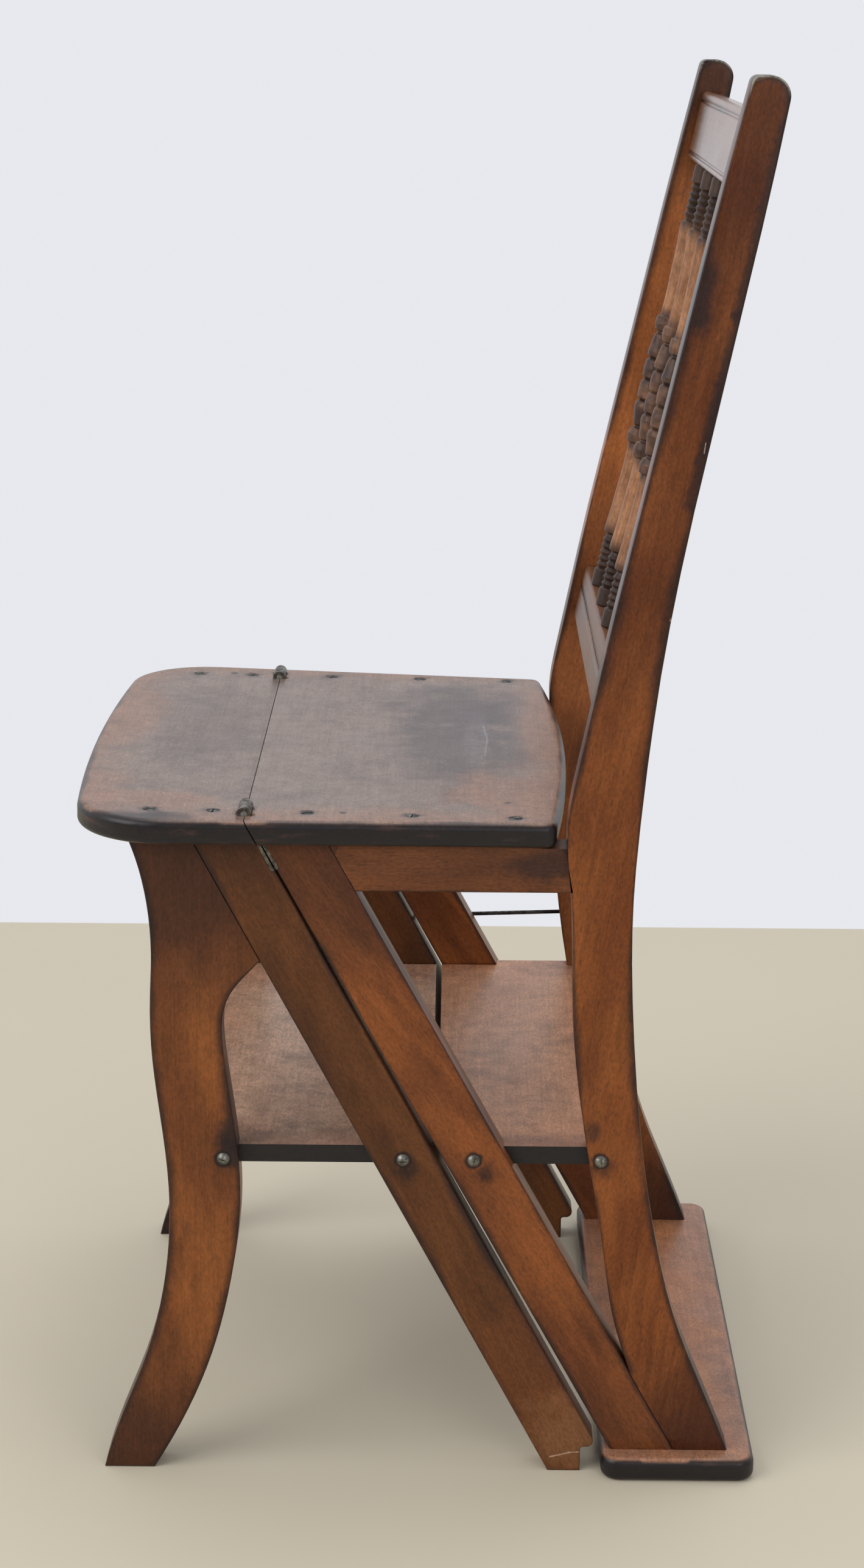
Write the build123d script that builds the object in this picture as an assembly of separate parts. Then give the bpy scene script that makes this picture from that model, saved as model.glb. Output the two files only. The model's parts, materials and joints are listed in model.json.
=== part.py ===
"""Library step chair: a side chair that splits across its seat and folds over into library steps.

Sizes are in millimetres. While it is built, x runs back from the hinge line, y runs towards the
sitter's right and z runs up from the floor. The finished pieces are moved so that the origin lies on
the floor under the middle of the whole chair.
"""

import os
from math import atan2, cos, degrees, radians, sin, tan

from build123d import *

# Folding line
pin_height = 450.0
pin_rise = 1.0
split_foot_reach = 238.3
split_opening_deg = 0.7
split_clearance = 0.3

# Side frames
frame_width = 400.0
frame_thickness = 22.0
diagonal_width = 37.0
seat_rail_depth = 28.7
foot_length = 21.5
foot_notch_gap = 1.0
foot_plinth_gap = 13.4
foot_notch_round = 2.0
foot_nose_round = 4.5

# Front legs: height share of the seat's underside, forward share of the reach, share of the width
leg_reach = 80.5
leg_width = 46.0
leg_station_shares = (
    (0.0, 1.0, 0.72),
    (0.092, 0.783, 0.91),
    (0.175, 0.602, 0.93),
    (0.336, 0.394, 0.95),
    (0.438, 0.35, 1.0),
    (0.541, 0.385, 1.02),
    (0.666, 0.466, 1.0),
    (0.756, 0.45, 1.08),
    (0.816, 0.31, 1.52),
    (0.9, 0.2, 2.0),
    (1.04, 0.355, 2.33),
)

# Back stiles: height share of the chair, backward share of the sweep, share of the width
stile_waist_inset = 13.5
stile_sweep = 92.5
stile_width = 31.0
stile_station_shares = (
    (0.0, 0.76, 1.6),
    (0.067, 0.54, 1.42),
    (0.124, 0.348, 1.29),
    (0.179, 0.24, 1.14),
    (0.261, 0.11, 1.16),
    (0.349, 0.024, 1.23),
    (0.442, 0.0, 1.27),
    (0.492, 0.0, 1.46),
    (0.531, 0.048, 1.38),
    (0.62, 0.19, 1.17),
    (0.722, 0.391, 1.03),
    (0.876, 0.716, 0.96),
    (1.0, 0.975, 0.79),
)
ear_front_round = 5.0
ear_back_round = 12.0

# Seat
seat_thickness = 16.0
seat_slope_deg = 1.1
seat_front_reach = 114.5
seat_stile_inset = 17.8
seat_front_overhang = 20.0
seat_rear_overhang = 2.0
seat_front_bow = 11.0
seat_rear_bow = 12.0
seat_front_corner = 58.0
seat_rear_corner = 8.0
seat_top_round = 5.0
seat_bottom_round = 4.0

# Middle shelf
shelf_thickness = 12.0
shelf_mid_height = 219.5
shelf_front_inset = 6.3
shelf_rear_inset = 6.5
shelf_housing = 11.0
shelf_nose_round = 4.0

# Plinth board under the rear half
plinth_thickness = 16.0
plinth_depth = 101.0
plinth_overhang = 15.0
plinth_corner = 12.0
plinth_edge_round = 5.0

# Back
back_lean_deg = 12.7
lower_rail_rise = 47.65
crest_drop = 22.9
back_rail_thickness = 16.0
crest_height = 48.0
lower_rail_height = 39.0
crest_line_from_top = 7.0
crest_line_from_bottom = 5.0
lower_line_from_top = 15.0
line_width = 1.8
line_depth = 1.0
rail_edge_round = 3.0

# Turned spindles
spindle_count = 4
spindle_max_radius = 8.0
spindle_pin_radius = 4.5
spindle_pin_length = 9.0

# One half of a spindle, from its middle to its end: share of the half length, share of the radius
spindle_turning_shares = (
    (0.0, 0.72),
    (0.012, 0.94),
    (0.05, 1.0),
    (0.088, 0.94),
    (0.1, 0.7),
    (0.112, 0.95),
    (0.13, 1.0),
    (0.2, 0.8),
    (0.212, 0.76),
    (0.224, 0.5),
    (0.236, 0.86),
    (0.262, 1.0),
    (0.296, 0.96),
    (0.304, 0.7),
)
spindle_taper_shares = (
    (0.42, 0.68),
    (0.6, 0.8),
    (0.716, 0.92),
)
spindle_shoulder_shares = (
    (0.737, 0.9),
    (0.748, 0.62),
)
bead_count = 5
bead_start_share = 0.76
bead_end_share = 0.912
bead_crest_share = 0.84
bead_groove_share = 0.66
spindle_foot_shares = (
    (0.922, 0.9),
    (0.995, 0.9),
    (1.0, 0.84),
)

# Stub tenons and dowels
tenon_length = 14.0
tenon_thickness = 8.0
tenon_margin = 5.0
dowel_radius = 4.0
dowel_length = 24.0
fit_clearance = 0.05
front_dowel_drops = (30.0, 60.0)
rear_dowel_rises = (36.0,)

# Hinges
leaf_width = 41.0
leaf_thickness = 2.0
knuckle_radius = 4.5
knuckle_gap = 0.25
knuckle_clearance = 0.3
hinge_pin_radius = 2.0
hinge_pin_clearance = 0.05
hinge_screw_places = (30.0, 37.0)
hinge_screw_length = 11.0
hinge_screw_radius = 1.5
hinge_screw_head_radius = 2.8

# Wood screws
screw_radius = 2.0
screw_length = 38.0
screw_head_radius = 4.2
screw_dome_height = 2.6
screw_slot_width = 1.0
screw_slot_depth = 1.2
front_seat_screw_shares = (-0.524, -0.175)
rear_seat_screw_shares = (0.188, 0.507, 0.821)
front_string_screw_share = 0.52
rear_string_screw_share = 0.46
leg_screw_inset = 9.0
stile_screw_inset = 7.7
seat_screw_turns_deg = (35.0, 80.0, -15.0, 60.0, 5.0, -50.0)
front_side_screw_turns_deg = (-20.0, 0.0, 40.0, -65.0)
rear_side_screw_turns_deg = (68.0, 82.0, 15.0, -30.0)

# Wire catch on the right side
hook_wire_radius = 1.5
hook_pivot_rise = 42.5
hook_pivot_offset = 3.5
hook_eye_rise = 32.5
hook_pivot_radius = 1.8
hook_running_gap = 0.1
hook_side_gap = 0.3
hook_tip_drop = 10.0
hook_bend_radius = 4.0
eye_ring_radius = 4.25
eye_wire_radius = 1.25
eye_neck = 1.5
eye_shank_length = 14.0

# Worked out from the sizes above
overall_height = 2 * pin_height
half_width = frame_width / 2
inner_half_width = half_width - frame_thickness
row_y = half_width - frame_thickness / 2
seat_slope = tan(radians(seat_slope_deg))
front_lean = atan2(split_foot_reach, pin_height)
rear_lean = front_lean + radians(split_opening_deg)
stile_set_back = split_foot_reach - stile_waist_inset
seat_rear_reach = stile_set_back - seat_stile_inset
seat_front_width = frame_width + 2 * seat_front_overhang
seat_rear_width = frame_width + 2 * seat_rear_overhang
seat_place = Pos(0, 0, pin_height - pin_rise) * Rot(0, seat_slope_deg, 0)
back_lean = radians(back_lean_deg)
back_bottom = pin_height + lower_rail_rise
back_top = overall_height - crest_drop
back_length = (back_top - back_bottom) / cos(back_lean)
spindle_length = back_length - crest_height - lower_rail_height
back_mid_height = back_bottom + (lower_rail_height + spindle_length / 2) * cos(back_lean)
hook_pivot_height = shelf_mid_height + hook_pivot_rise
hook_eye_height = shelf_mid_height + hook_eye_rise


def underside_height(x):
    """Height of the seat's underside at x."""
    return pin_height - pin_rise - seat_thickness / cos(radians(seat_slope_deg)) - x * seat_slope


def front_split_x(z, offset=0):
    """Where the front half's split face stands at height z, moved forward by an offset square to it."""
    return (pin_height - z) * tan(front_lean) - (split_clearance + offset) / cos(front_lean)


def rear_split_x(z, offset=0):
    """Where the rear half's split face stands at height z, moved back by an offset square to it."""
    return (pin_height - z) * tan(rear_lean) + (split_clearance + offset) / cos(rear_lean)


def polygon(*points):
    """A flat face with straight sides, drawn as (x, z)."""
    return make_face(Polyline(*points, close=True))


def leg_stations():
    """The sabre leg's middle and width at each of its heights: (x, z, width)."""
    top = underside_height(-leg_reach)
    return [(-leg_reach * reach, top * height, leg_width * width)
            for height, reach, width in leg_station_shares]


def stile_stations():
    """The back stile's middle and width at each of its heights: (x, z, width)."""
    return [(stile_set_back + stile_sweep * back, overall_height * height, stile_width * width)
            for height, back, width in stile_station_shares]


def edges_at(stations, z):
    """Where a sawn member's front and rear edges stand at height z, straight between its stations."""
    above = next(place for place, station in enumerate(stations) if place and station[1] >= z)
    (low_x, low_z, low_width), (high_x, high_z, high_width) = stations[above - 1:above + 1]
    share = (z - low_z) / (high_z - low_z)
    middle = low_x + share * (high_x - low_x)
    width = low_width + share * (high_width - low_width)
    return middle - width / 2, middle + width / 2


def ahead_of(split_x, offset=0):
    """Everything in front of a leaning line, from the floor to the chair's full height."""
    foot, head = split_x(0, offset), split_x(overall_height, offset)
    return polygon((foot, 0), (head, overall_height), (-overall_height, overall_height), (-overall_height, 0))


def behind(split_x, offset=0):
    """Everything behind a leaning line, from the floor to the chair's full height."""
    foot, head = split_x(0, offset), split_x(overall_height, offset)
    return polygon((foot, 0), (head, overall_height), (overall_height, overall_height), (overall_height, 0))


def below_seat():
    """Everything under the seat's underside."""
    return polygon(
        (-overall_height, 0),
        (overall_height, 0),
        (overall_height, underside_height(overall_height)),
        (-overall_height, underside_height(-overall_height)),
    )


def cut(piece, *cutters):
    """The piece with each cutter taken out of it in turn."""
    for cutter in cutters:
        piece -= cutter
    return piece


def mirrored(piece):
    """The same piece for the chair's other side."""
    return mirror(piece, about=Plane.XZ)


def left_board(face, outer=half_width, thickness=frame_thickness):
    """A side-frame piece cut from a board: a face drawn as (x, z), at the chair's left side."""
    return extrude(Plane.XZ.offset(outer - thickness) * face, amount=thickness)


def across(face, width):
    """A face drawn as (x, z), run from side to side over a width centred on the chair."""
    return extrude(Plane.XZ.offset(-width / 2) * face, amount=width)


def sawn_member(stations):
    """A sawn member's outline through stations of (x at the middle, z, width), as smooth edges."""
    front = [(x - width / 2, z) for x, z, width in stations]
    back = [(x + width / 2, z) for x, z, width in stations]
    edges = (Spline(*front), Line(front[-1], back[-1]), Spline(*reversed(back)), Line(back[0], front[0]))
    return make_face(edges)


def leg_face():
    """The sabre leg, cut off at the seat and along its joint with the diagonal."""
    return sawn_member(leg_stations()) & below_seat() & ahead_of(front_split_x, diagonal_width)


def corners_at(face, z):
    """The corners of a face that lie at height z, from front to back."""
    return face.vertices().filter_by_position(Axis.Y, z - fit_clearance, z + fit_clearance).sort_by(Axis.X)


def front_diagonal_face():
    """The front string, with its foot cut back to clear the plinth board."""
    strip = ahead_of(front_split_x) & behind(front_split_x, diagonal_width) & below_seat()
    notch_front = front_split_x(0, diagonal_width) + foot_length
    notch_back = front_split_x(0)
    notch_height = plinth_thickness + foot_notch_gap
    notch = polygon(
        (notch_front, 0),
        (notch_front, notch_height),
        (notch_back, notch_height),
        (notch_back, 0),
    )
    strip = fillet(corners_at(strip - notch, notch_height)[0], foot_notch_round)
    return fillet(corners_at(strip, notch_height)[-1], foot_nose_round)


def rear_diagonal_face():
    """The rear string, standing on the plinth board."""
    strip = behind(rear_split_x) & ahead_of(rear_split_x, diagonal_width) & below_seat()
    return strip & above_plinth()


def above_plinth():
    """Everything over the plinth board's top."""
    return polygon(
        (-overall_height, plinth_thickness),
        (overall_height, plinth_thickness),
        (overall_height, overall_height),
        (-overall_height, overall_height),
    )


def stile_face():
    """The back post with its rounded ear, standing on the plinth board beside the string."""
    post = sawn_member(stile_stations())
    ear_front, ear_back = post.vertices().sort_by(Axis.Y)[-2:].sort_by(Axis.X)
    post = fillet(ear_front, ear_front_round)
    post = fillet(post.vertices().sort_by(Axis.X)[-1], ear_back_round)
    return post & above_plinth() & behind(rear_split_x, diagonal_width)


def seat_rail_face():
    """The side rail between the rear string and the stile."""
    bottom = underside_height(stile_set_back) - seat_rail_depth
    band = polygon(
        (0, bottom),
        (stile_set_back, bottom),
        (stile_set_back, pin_height),
        (0, pin_height),
    )
    return (band & below_seat() & behind(rear_split_x, diagonal_width)) - stile_face()


def rail_tenons(rail):
    """A bar down the middle of a side rail, long enough to make a stub tenon at each end."""
    box = rail.bounding_box()
    length = box.size.X + tenon_length
    height = box.size.Z - 2 * tenon_margin
    return Pos(box.center().X, -row_y, box.center().Z) * Box(length, tenon_thickness, height)


def seat_plan():
    """The whole seat seen from above, before it is split."""
    front_x, rear_x = seat_front_bow - seat_front_reach, seat_rear_reach - seat_rear_bow
    front_y, rear_y = seat_front_width / 2, seat_rear_width / 2
    plan = make_face((
        ThreePointArc((front_x, -front_y), (-seat_front_reach, 0), (front_x, front_y)),
        Line((front_x, front_y), (rear_x, rear_y)),
        ThreePointArc((rear_x, rear_y), (seat_rear_reach, 0), (rear_x, -rear_y)),
        Line((rear_x, -rear_y), (front_x, -front_y)),
    ))
    plan = fillet(plan.vertices().sort_by(Axis.X)[:2], seat_front_corner)
    return fillet(plan.vertices().sort_by(Axis.X)[-2:], seat_rear_corner)


def whole_seat():
    """The seat in one piece, with rounded edges, lying on its slope."""
    board = extrude(seat_plan(), amount=-seat_thickness)
    board = fillet(board.faces().sort_by(Axis.Z)[-1].edges(), seat_top_round)
    board = fillet(board.faces().sort_by(Axis.Z)[0].edges(), seat_bottom_round)
    return seat_place * board


def shelf(side):
    """One part of the middle shelf, cut off on a side of the split and rounded at its free edge."""
    front_x = edges_at(leg_stations(), shelf_mid_height)[0] + shelf_front_inset
    rear_x = edges_at(stile_stations(), shelf_mid_height)[1] - shelf_rear_inset
    length = rear_x - front_x
    width = frame_width - 2 * shelf_housing
    board = Pos(front_x + length / 2, 0, shelf_mid_height) * Box(length, width, shelf_thickness)
    free_edge = board.faces().sort_by(Axis.X)[0 if side == "front" else -1]
    board = fillet(free_edge.edges().filter_by(Axis.Y), shelf_nose_round)
    half = ahead_of(front_split_x) if side == "front" else behind(rear_split_x)
    return board & across(half, frame_width)


def plinth_front():
    """Where the plinth board's front edge lies, clear of the front strings' feet."""
    return front_split_x(0, diagonal_width) + foot_length + foot_plinth_gap


def plinth():
    """The board that the rear half stands on."""
    width = frame_width + 2 * plinth_overhang
    board = extrude(RectangleRounded(plinth_depth, width, plinth_corner), amount=plinth_thickness)
    board = fillet(board.faces().sort_by(Axis.Z)[-1].edges(), plinth_edge_round)
    board = fillet(board.faces().sort_by(Axis.Z)[0].edges(), plinth_edge_round)
    return Pos(plinth_front() + plinth_depth / 2, 0, 0) * board


def back_plane():
    """The plane in the middle of the back: its x runs to the chair's left and its y up the lean."""
    lean_out = (-cos(back_lean), 0, sin(back_lean))
    middle = sum(edges_at(stile_stations(), back_mid_height)) / 2
    return Plane(origin=(middle, 0, back_mid_height), x_dir=(0, -1, 0), z_dir=lean_out)


def back_rail(bottom, height, lines):
    """A rail of the back with stub tenons, and lines cut along its front at the given heights."""
    clear_width = 2 * inner_half_width
    body = Box(clear_width, height, back_rail_thickness)
    body = fillet(body.edges().filter_by(Axis.X), rail_edge_round)
    groove = Box(clear_width, line_width, 2 * line_depth)
    for line in lines:
        body -= Pos(0, line - height / 2, back_rail_thickness / 2) * groove
    body += Box(clear_width + 2 * tenon_length, height - 2 * tenon_margin, tenon_thickness)
    return back_plane() * Pos(0, bottom + height / 2, 0) * body


def spindle_points():
    """The turned profile of the spindle's upper half: (radius, distance from the middle)."""
    half = spindle_length / 2
    beads = []
    step = (bead_end_share - bead_start_share) / bead_count
    for bead in range(bead_count):
        start = bead_start_share + bead * step
        beads += [(start, bead_groove_share), (start + step / 2, bead_crest_share)]
    beads.append((bead_end_share, bead_groove_share))
    plain = (*spindle_turning_shares, *spindle_taper_shares, *spindle_shoulder_shares)
    shares = (*plain, *beads, *spindle_foot_shares)
    return [(radius * spindle_max_radius, along * half) for along, radius in shares]


def spindle():
    """A spindle turned about the z axis, with a round pin at each end."""
    half = spindle_length / 2
    upper = spindle_points()
    lower = [(radius, -along) for radius, along in reversed(upper[1:])]
    outline = polygon((0, -half), *lower, *upper, (0, half))
    turned = revolve(Plane.XZ * outline, Axis.Z)
    return turned + Cylinder(spindle_pin_radius, spindle_length + 2 * spindle_pin_length)


def flat_head_blank(length, radius, head_radius):
    """A flat-head screw before it is slotted, its head's top at the origin and its shank down -z."""
    head_height = head_radius - radius
    shank = Pos(0, 0, -length / 2) * Cylinder(radius, length)
    return shank + Pos(0, 0, -head_height / 2) * Cone(radius, head_radius, head_height)


def flat_head_screw(length, radius, head_radius):
    """A slotted flat-head screw, its head's top at the origin and its shank down -z."""
    slot = Box(2 * head_radius, screw_slot_width, 2 * screw_slot_depth)
    return flat_head_blank(length, radius, head_radius) - slot


def flat_head_hole(length, radius, head_radius):
    """The countersunk hole that a flat-head screw sits in."""
    return flat_head_blank(length + fit_clearance, radius + fit_clearance, head_radius + fit_clearance)


def round_head_screw(length, radius):
    """A slotted round-head screw, its head's underside at the origin and its shank down -z."""
    sphere_radius = (screw_head_radius**2 + screw_dome_height**2) / (2 * screw_dome_height)
    dome = Pos(0, 0, screw_dome_height - sphere_radius) * Sphere(sphere_radius)
    dome &= Pos(0, 0, screw_dome_height / 2) * Cylinder(screw_head_radius, screw_dome_height)
    slot = Pos(0, 0, screw_dome_height) * Box(2 * screw_head_radius, screw_slot_width, 2 * screw_slot_depth)
    return Pos(0, 0, -length / 2) * Cylinder(radius, length) + dome - slot


def round_hole(length, radius):
    """The hole for a shank or a dowel, from the origin down -z."""
    depth = length + fit_clearance
    return Pos(0, 0, -depth / 2) * Cylinder(radius + fit_clearance, depth)


def at_spots(shape, spots, turns_deg=None):
    """The shape at each spot, turned about its own axis by its own angle."""
    turns_deg = turns_deg or [0] * len(spots)
    return [spot * Rot(0, 0, turn) * shape for spot, turn in zip(spots, turns_deg)]


def seat_screw_spots(places):
    """Where the seat's screws go down into each side frame."""
    return [seat_place * Pos(x, side * row_y, 0) for side in (-1, 1) for x in places]


def front_side_screw_places():
    """How far back the screws through a leg and its string stand."""
    leg = edges_at(leg_stations(), shelf_mid_height)[1] - leg_screw_inset
    return leg, front_split_x(shelf_mid_height, front_string_screw_share * diagonal_width)


def rear_side_screw_places():
    """How far back the screws through a rear string and its stile stand."""
    stile = edges_at(stile_stations(), shelf_mid_height)[0] + stile_screw_inset
    return rear_split_x(shelf_mid_height, rear_string_screw_share * diagonal_width), stile


def side_screw_spots(places):
    """Where the side screws go through each side frame into the shelf's ends."""
    return [Pos(x, side * half_width, shelf_mid_height) * Rot(-90 * side, 0, 0)
            for side in (-1, 1) for x in places]


def plinth_screw_spots():
    """Where screws go up through the plinth board into the feet of the rear half."""
    joint = rear_split_x(plinth_thickness, diagonal_width)
    stile_back = edges_at(stile_stations(), plinth_thickness)[1]
    places = (rear_split_x(plinth_thickness, diagonal_width / 2), (joint + stile_back) / 2)
    return [Pos(x, side * row_y, 0) * Rot(180, 0, 0) for side in (-1, 1) for x in places]


def dowel_spots(split_x, lean, heights):
    """Tops of the dowels square across each joint between a string and the member beside it."""
    square = Rot(0, 90 - degrees(lean), 0) * Pos(0, 0, dowel_length / 2)
    return [Pos(split_x(z, diagonal_width), side * row_y, z) * square for side in (-1, 1) for z in heights]


def split_plane(lean, toward, side=-1):
    """A plane on the split through a hinge pin: its x runs down the split and its z into a half."""
    down = (sin(lean), 0, -cos(lean))
    into = (toward * cos(lean), 0, toward * sin(lean))
    return Plane(origin=(0, side * row_y, pin_height), x_dir=down, z_dir=into)


def hinge_screw_spots(lean, toward):
    """Where the screws of one leaf go into each side frame."""
    seat = Pos(0, 0, split_clearance) * Rot(180, 0, 0)
    return [split_plane(lean, toward, side).location * Pos(place, 0, 0) * seat
            for side in (-1, 1) for place in hinge_screw_places]


def hinge_leaf(lean, toward, knuckles):
    """A leaf of the left hinge with its own knuckles; knuckles holds their places along the pin."""
    length = frame_thickness
    knuckle_length = (length - 2 * knuckle_gap) / 3
    pitch = knuckle_length + knuckle_gap
    flat = Box(leaf_width, length, leaf_thickness)
    flat = Pos(leaf_width / 2, 0, split_clearance + leaf_thickness / 2) * flat
    for place in (-1, 0, 1):
        barrel = Pos(0, place * pitch, 0) * Rot(90, 0, 0)
        if place in knuckles:
            flat += barrel * Cylinder(knuckle_radius, knuckle_length)
        else:
            room = knuckle_length + 2 * knuckle_gap
            flat -= barrel * Cylinder(knuckle_radius + knuckle_clearance, room)
    flat -= Rot(90, 0, 0) * Cylinder(hinge_pin_radius + hinge_pin_clearance, length)
    hole = flat_head_hole(hinge_screw_length, hinge_screw_radius, hinge_screw_head_radius)
    return cut(split_plane(lean, toward) * flat, *at_spots(hole, hinge_screw_spots(lean, toward)))


def hinge_recess(lean, toward):
    """The room that a leaf of the left hinge and its knuckles take out of the wood."""
    depth = leaf_thickness + 2 * split_clearance
    room = Pos(leaf_width / 2, 0, leaf_thickness / 2) * Box(leaf_width, frame_thickness, depth)
    room += Rot(90, 0, 0) * Cylinder(knuckle_radius + knuckle_clearance, frame_thickness)
    return split_plane(lean, toward) * room


def catch_places():
    """Where the wire catch turns and where it drops into its eye, on the right side."""
    pivot_x = sum(edges_at(stile_stations(), hook_pivot_height)) / 2 + hook_pivot_offset
    pivot = Vector(pivot_x, half_width + hook_side_gap + hook_wire_radius, hook_pivot_height)
    eye_x = front_split_x(hook_eye_height, diagonal_width / 2)
    eye = Vector(eye_x, half_width + eye_neck + eye_ring_radius + eye_wire_radius, hook_eye_height)
    return pivot, eye


def catch_hook():
    """The wire catch: a loop round its pivot screw, a straight rod and a tip bent down into the eye."""
    pivot, eye = catch_places()
    loop_radius = hook_pivot_radius + hook_running_gap + hook_wire_radius
    corner = eye + Vector(0, 0, eye_wire_radius + hook_side_gap + hook_wire_radius)
    start = pivot + (corner - pivot).normalized() * loop_radius
    tip = corner - Vector(0, 0, hook_tip_drop)
    route = FilletPolyline(start, corner, tip, radius=hook_bend_radius)
    rod = sweep(Plane(origin=start, z_dir=corner - start) * Circle(hook_wire_radius), path=route)
    loop = Pos(pivot) * Rot(90, 0, 0) * Torus(loop_radius, hook_wire_radius)
    bore = Pos(pivot) * Rot(90, 0, 0) * Cylinder(hook_pivot_radius + hook_running_gap, 2 * loop_radius)
    return loop + rod - bore


def catch_eye():
    """The screw eye on the right front string, its ring lying level."""
    pivot, eye = catch_places()
    ring = Pos(eye) * Torus(eye_ring_radius, eye_wire_radius)
    neck_end = eye.Y - eye_ring_radius
    length = neck_end - half_width + eye_shank_length
    shank = Pos(eye.X, neck_end - length / 2, eye.Z) * Rot(90, 0, 0) * Cylinder(eye_wire_radius, length)
    return ring + shank


def front_half():
    """Every piece of the half that stays put."""
    seat_spots = seat_screw_spots([share * seat_front_reach for share in front_seat_screw_shares])
    side_spots = side_screw_spots(front_side_screw_places())
    leaf_spots = hinge_screw_spots(front_lean, -1)
    dowel_heights = [underside_height(-leg_reach) - drop for drop in front_dowel_drops]
    peg_spots = dowel_spots(front_split_x, front_lean, dowel_heights)
    seat_holes = at_spots(seat_hole, seat_spots)
    side_holes = at_spots(side_hole, side_spots)
    board = shelf("front")
    leaf = hinge_leaf(front_lean, -1, (-1, 1))
    recess = hinge_recess(front_lean, -1)
    pin = Pos(0, -row_y, pin_height) * Rot(90, 0, 0) * Cylinder(hinge_pin_radius, frame_thickness)
    seat = whole_seat() & across(ahead_of(front_split_x), seat_front_width)
    frame_holes = [board, *at_spots(peg_hole, peg_spots), *seat_holes, *side_holes]
    leg = cut(left_board(leg_face()), *frame_holes)
    string_holes = [recess, *frame_holes, *at_spots(leaf_hole, leaf_spots)]
    diagonal = cut(left_board(front_diagonal_face()), *string_holes)
    pivot, eye = catch_places()
    eye_hole = Pos(eye.X, half_width, eye.Z) * Rot(-90, 0, 0) * round_hole(eye_shank_length, eye_wire_radius)
    return {
        "left_front_leg": leg,
        "right_front_leg": mirrored(leg),
        "left_front_diagonal": diagonal,
        "right_front_diagonal": mirrored(diagonal) - eye_hole,
        "front_dowels": Compound(at_spots(peg, peg_spots)),
        "front_seat_board": cut(seat, recess, mirrored(recess), *seat_holes),
        "front_shelf": cut(board, *side_holes),
        "left_hinge_front_leaf": leaf,
        "right_hinge_front_leaf": mirrored(leaf),
        "left_hinge_pin": pin,
        "right_hinge_pin": mirrored(pin),
        "front_seat_screws": Compound(at_spots(seat_screw, seat_spots, seat_screw_turns_deg)),
        "front_side_screws": Compound(at_spots(side_screw, side_spots, front_side_screw_turns_deg)),
        "front_hinge_screws": Compound(at_spots(leaf_screw, leaf_spots)),
        "catch_eye": catch_eye(),
    }


def rear_half():
    """Every piece of the half that folds over."""
    seat_spots = seat_screw_spots([share * seat_rear_reach for share in rear_seat_screw_shares])
    side_spots = side_screw_spots(rear_side_screw_places())
    foot_spots = plinth_screw_spots()
    leaf_spots = hinge_screw_spots(rear_lean, 1)
    dowel_heights = [plinth_thickness + rise for rise in rear_dowel_rises]
    peg_spots = dowel_spots(rear_split_x, rear_lean, dowel_heights)
    seat_holes = at_spots(seat_hole, seat_spots)
    side_holes = at_spots(side_hole, side_spots)
    foot_holes = at_spots(seat_hole, foot_spots)
    board = shelf("rear")
    leaf = hinge_leaf(rear_lean, 1, (0,))
    recess = hinge_recess(rear_lean, 1)
    seat = whole_seat() & across(behind(rear_split_x), seat_front_width)
    rail = left_board(seat_rail_face())
    rail = rail + rail_tenons(rail)
    half = spindle_length / 2
    crest_lines = (crest_line_from_bottom, crest_height - crest_line_from_top)
    crest = back_rail(half, crest_height, crest_lines)
    lower_lines = (lower_rail_height - lower_line_from_top,)
    lower = back_rail(-half - lower_rail_height, lower_rail_height, lower_lines)
    frame_holes = [board, rail, *at_spots(peg_hole, peg_spots), *side_holes, *foot_holes]
    stile = cut(left_board(stile_face()), crest, lower, *frame_holes)
    string_holes = [recess, *frame_holes, *seat_holes, *at_spots(leaf_hole, leaf_spots)]
    diagonal = cut(left_board(rear_diagonal_face()), *string_holes)
    pitch = 2 * inner_half_width / (spindle_count + 1)
    spots = [back_plane().location * Pos(inner_half_width - (place + 1) * pitch, 0, 0) * Rot(-90, 0, 0)
             for place in range(spindle_count)]
    pin_reach = spindle_length + 2 * (spindle_pin_length + fit_clearance)
    pin_holes = at_spots(Cylinder(spindle_pin_radius + fit_clearance, pin_reach), spots)
    pivot, eye = catch_places()
    pivot_spot = Pos(pivot.X, half_width, pivot.Z) * Rot(-90, 0, 0)
    pivot_rise = pivot.Y - half_width + hook_wire_radius + hook_side_gap
    pivot_screw = round_head_screw(frame_thickness, hook_pivot_radius)
    pivot_hole = pivot_spot * round_hole(frame_thickness - pivot_rise, hook_pivot_radius)
    pieces = {
        "left_back_stile": stile,
        "right_back_stile": mirrored(stile) - pivot_hole,
        "left_rear_diagonal": diagonal,
        "right_rear_diagonal": mirrored(diagonal),
        "left_seat_rail": cut(rail, *seat_holes),
        "right_seat_rail": mirrored(cut(rail, *seat_holes)),
        "rear_dowels": Compound(at_spots(peg, peg_spots)),
        "rear_seat_board": cut(seat, recess, mirrored(recess), *seat_holes),
        "rear_shelf": cut(board, *side_holes),
        "plinth_board": cut(plinth(), *foot_holes),
        "crest_rail": cut(crest, *pin_holes),
        "lower_back_rail": cut(lower, *pin_holes),
        "left_hinge_rear_leaf": leaf,
        "right_hinge_rear_leaf": mirrored(leaf),
        "rear_seat_screws": Compound(at_spots(seat_screw, seat_spots, seat_screw_turns_deg)),
        "rear_side_screws": Compound(at_spots(side_screw, side_spots, rear_side_screw_turns_deg)),
        "rear_hinge_screws": Compound(at_spots(leaf_screw, leaf_spots)),
        "plinth_screws": Compound(at_spots(seat_screw, foot_spots, seat_screw_turns_deg)),
        "catch_pivot_screw": pivot_spot * Pos(0, 0, pivot_rise) * pivot_screw,
    }
    for place, turned in enumerate(at_spots(spindle(), spots), start=1):
        pieces[f"spindle_{place}"] = turned
    return pieces


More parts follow.
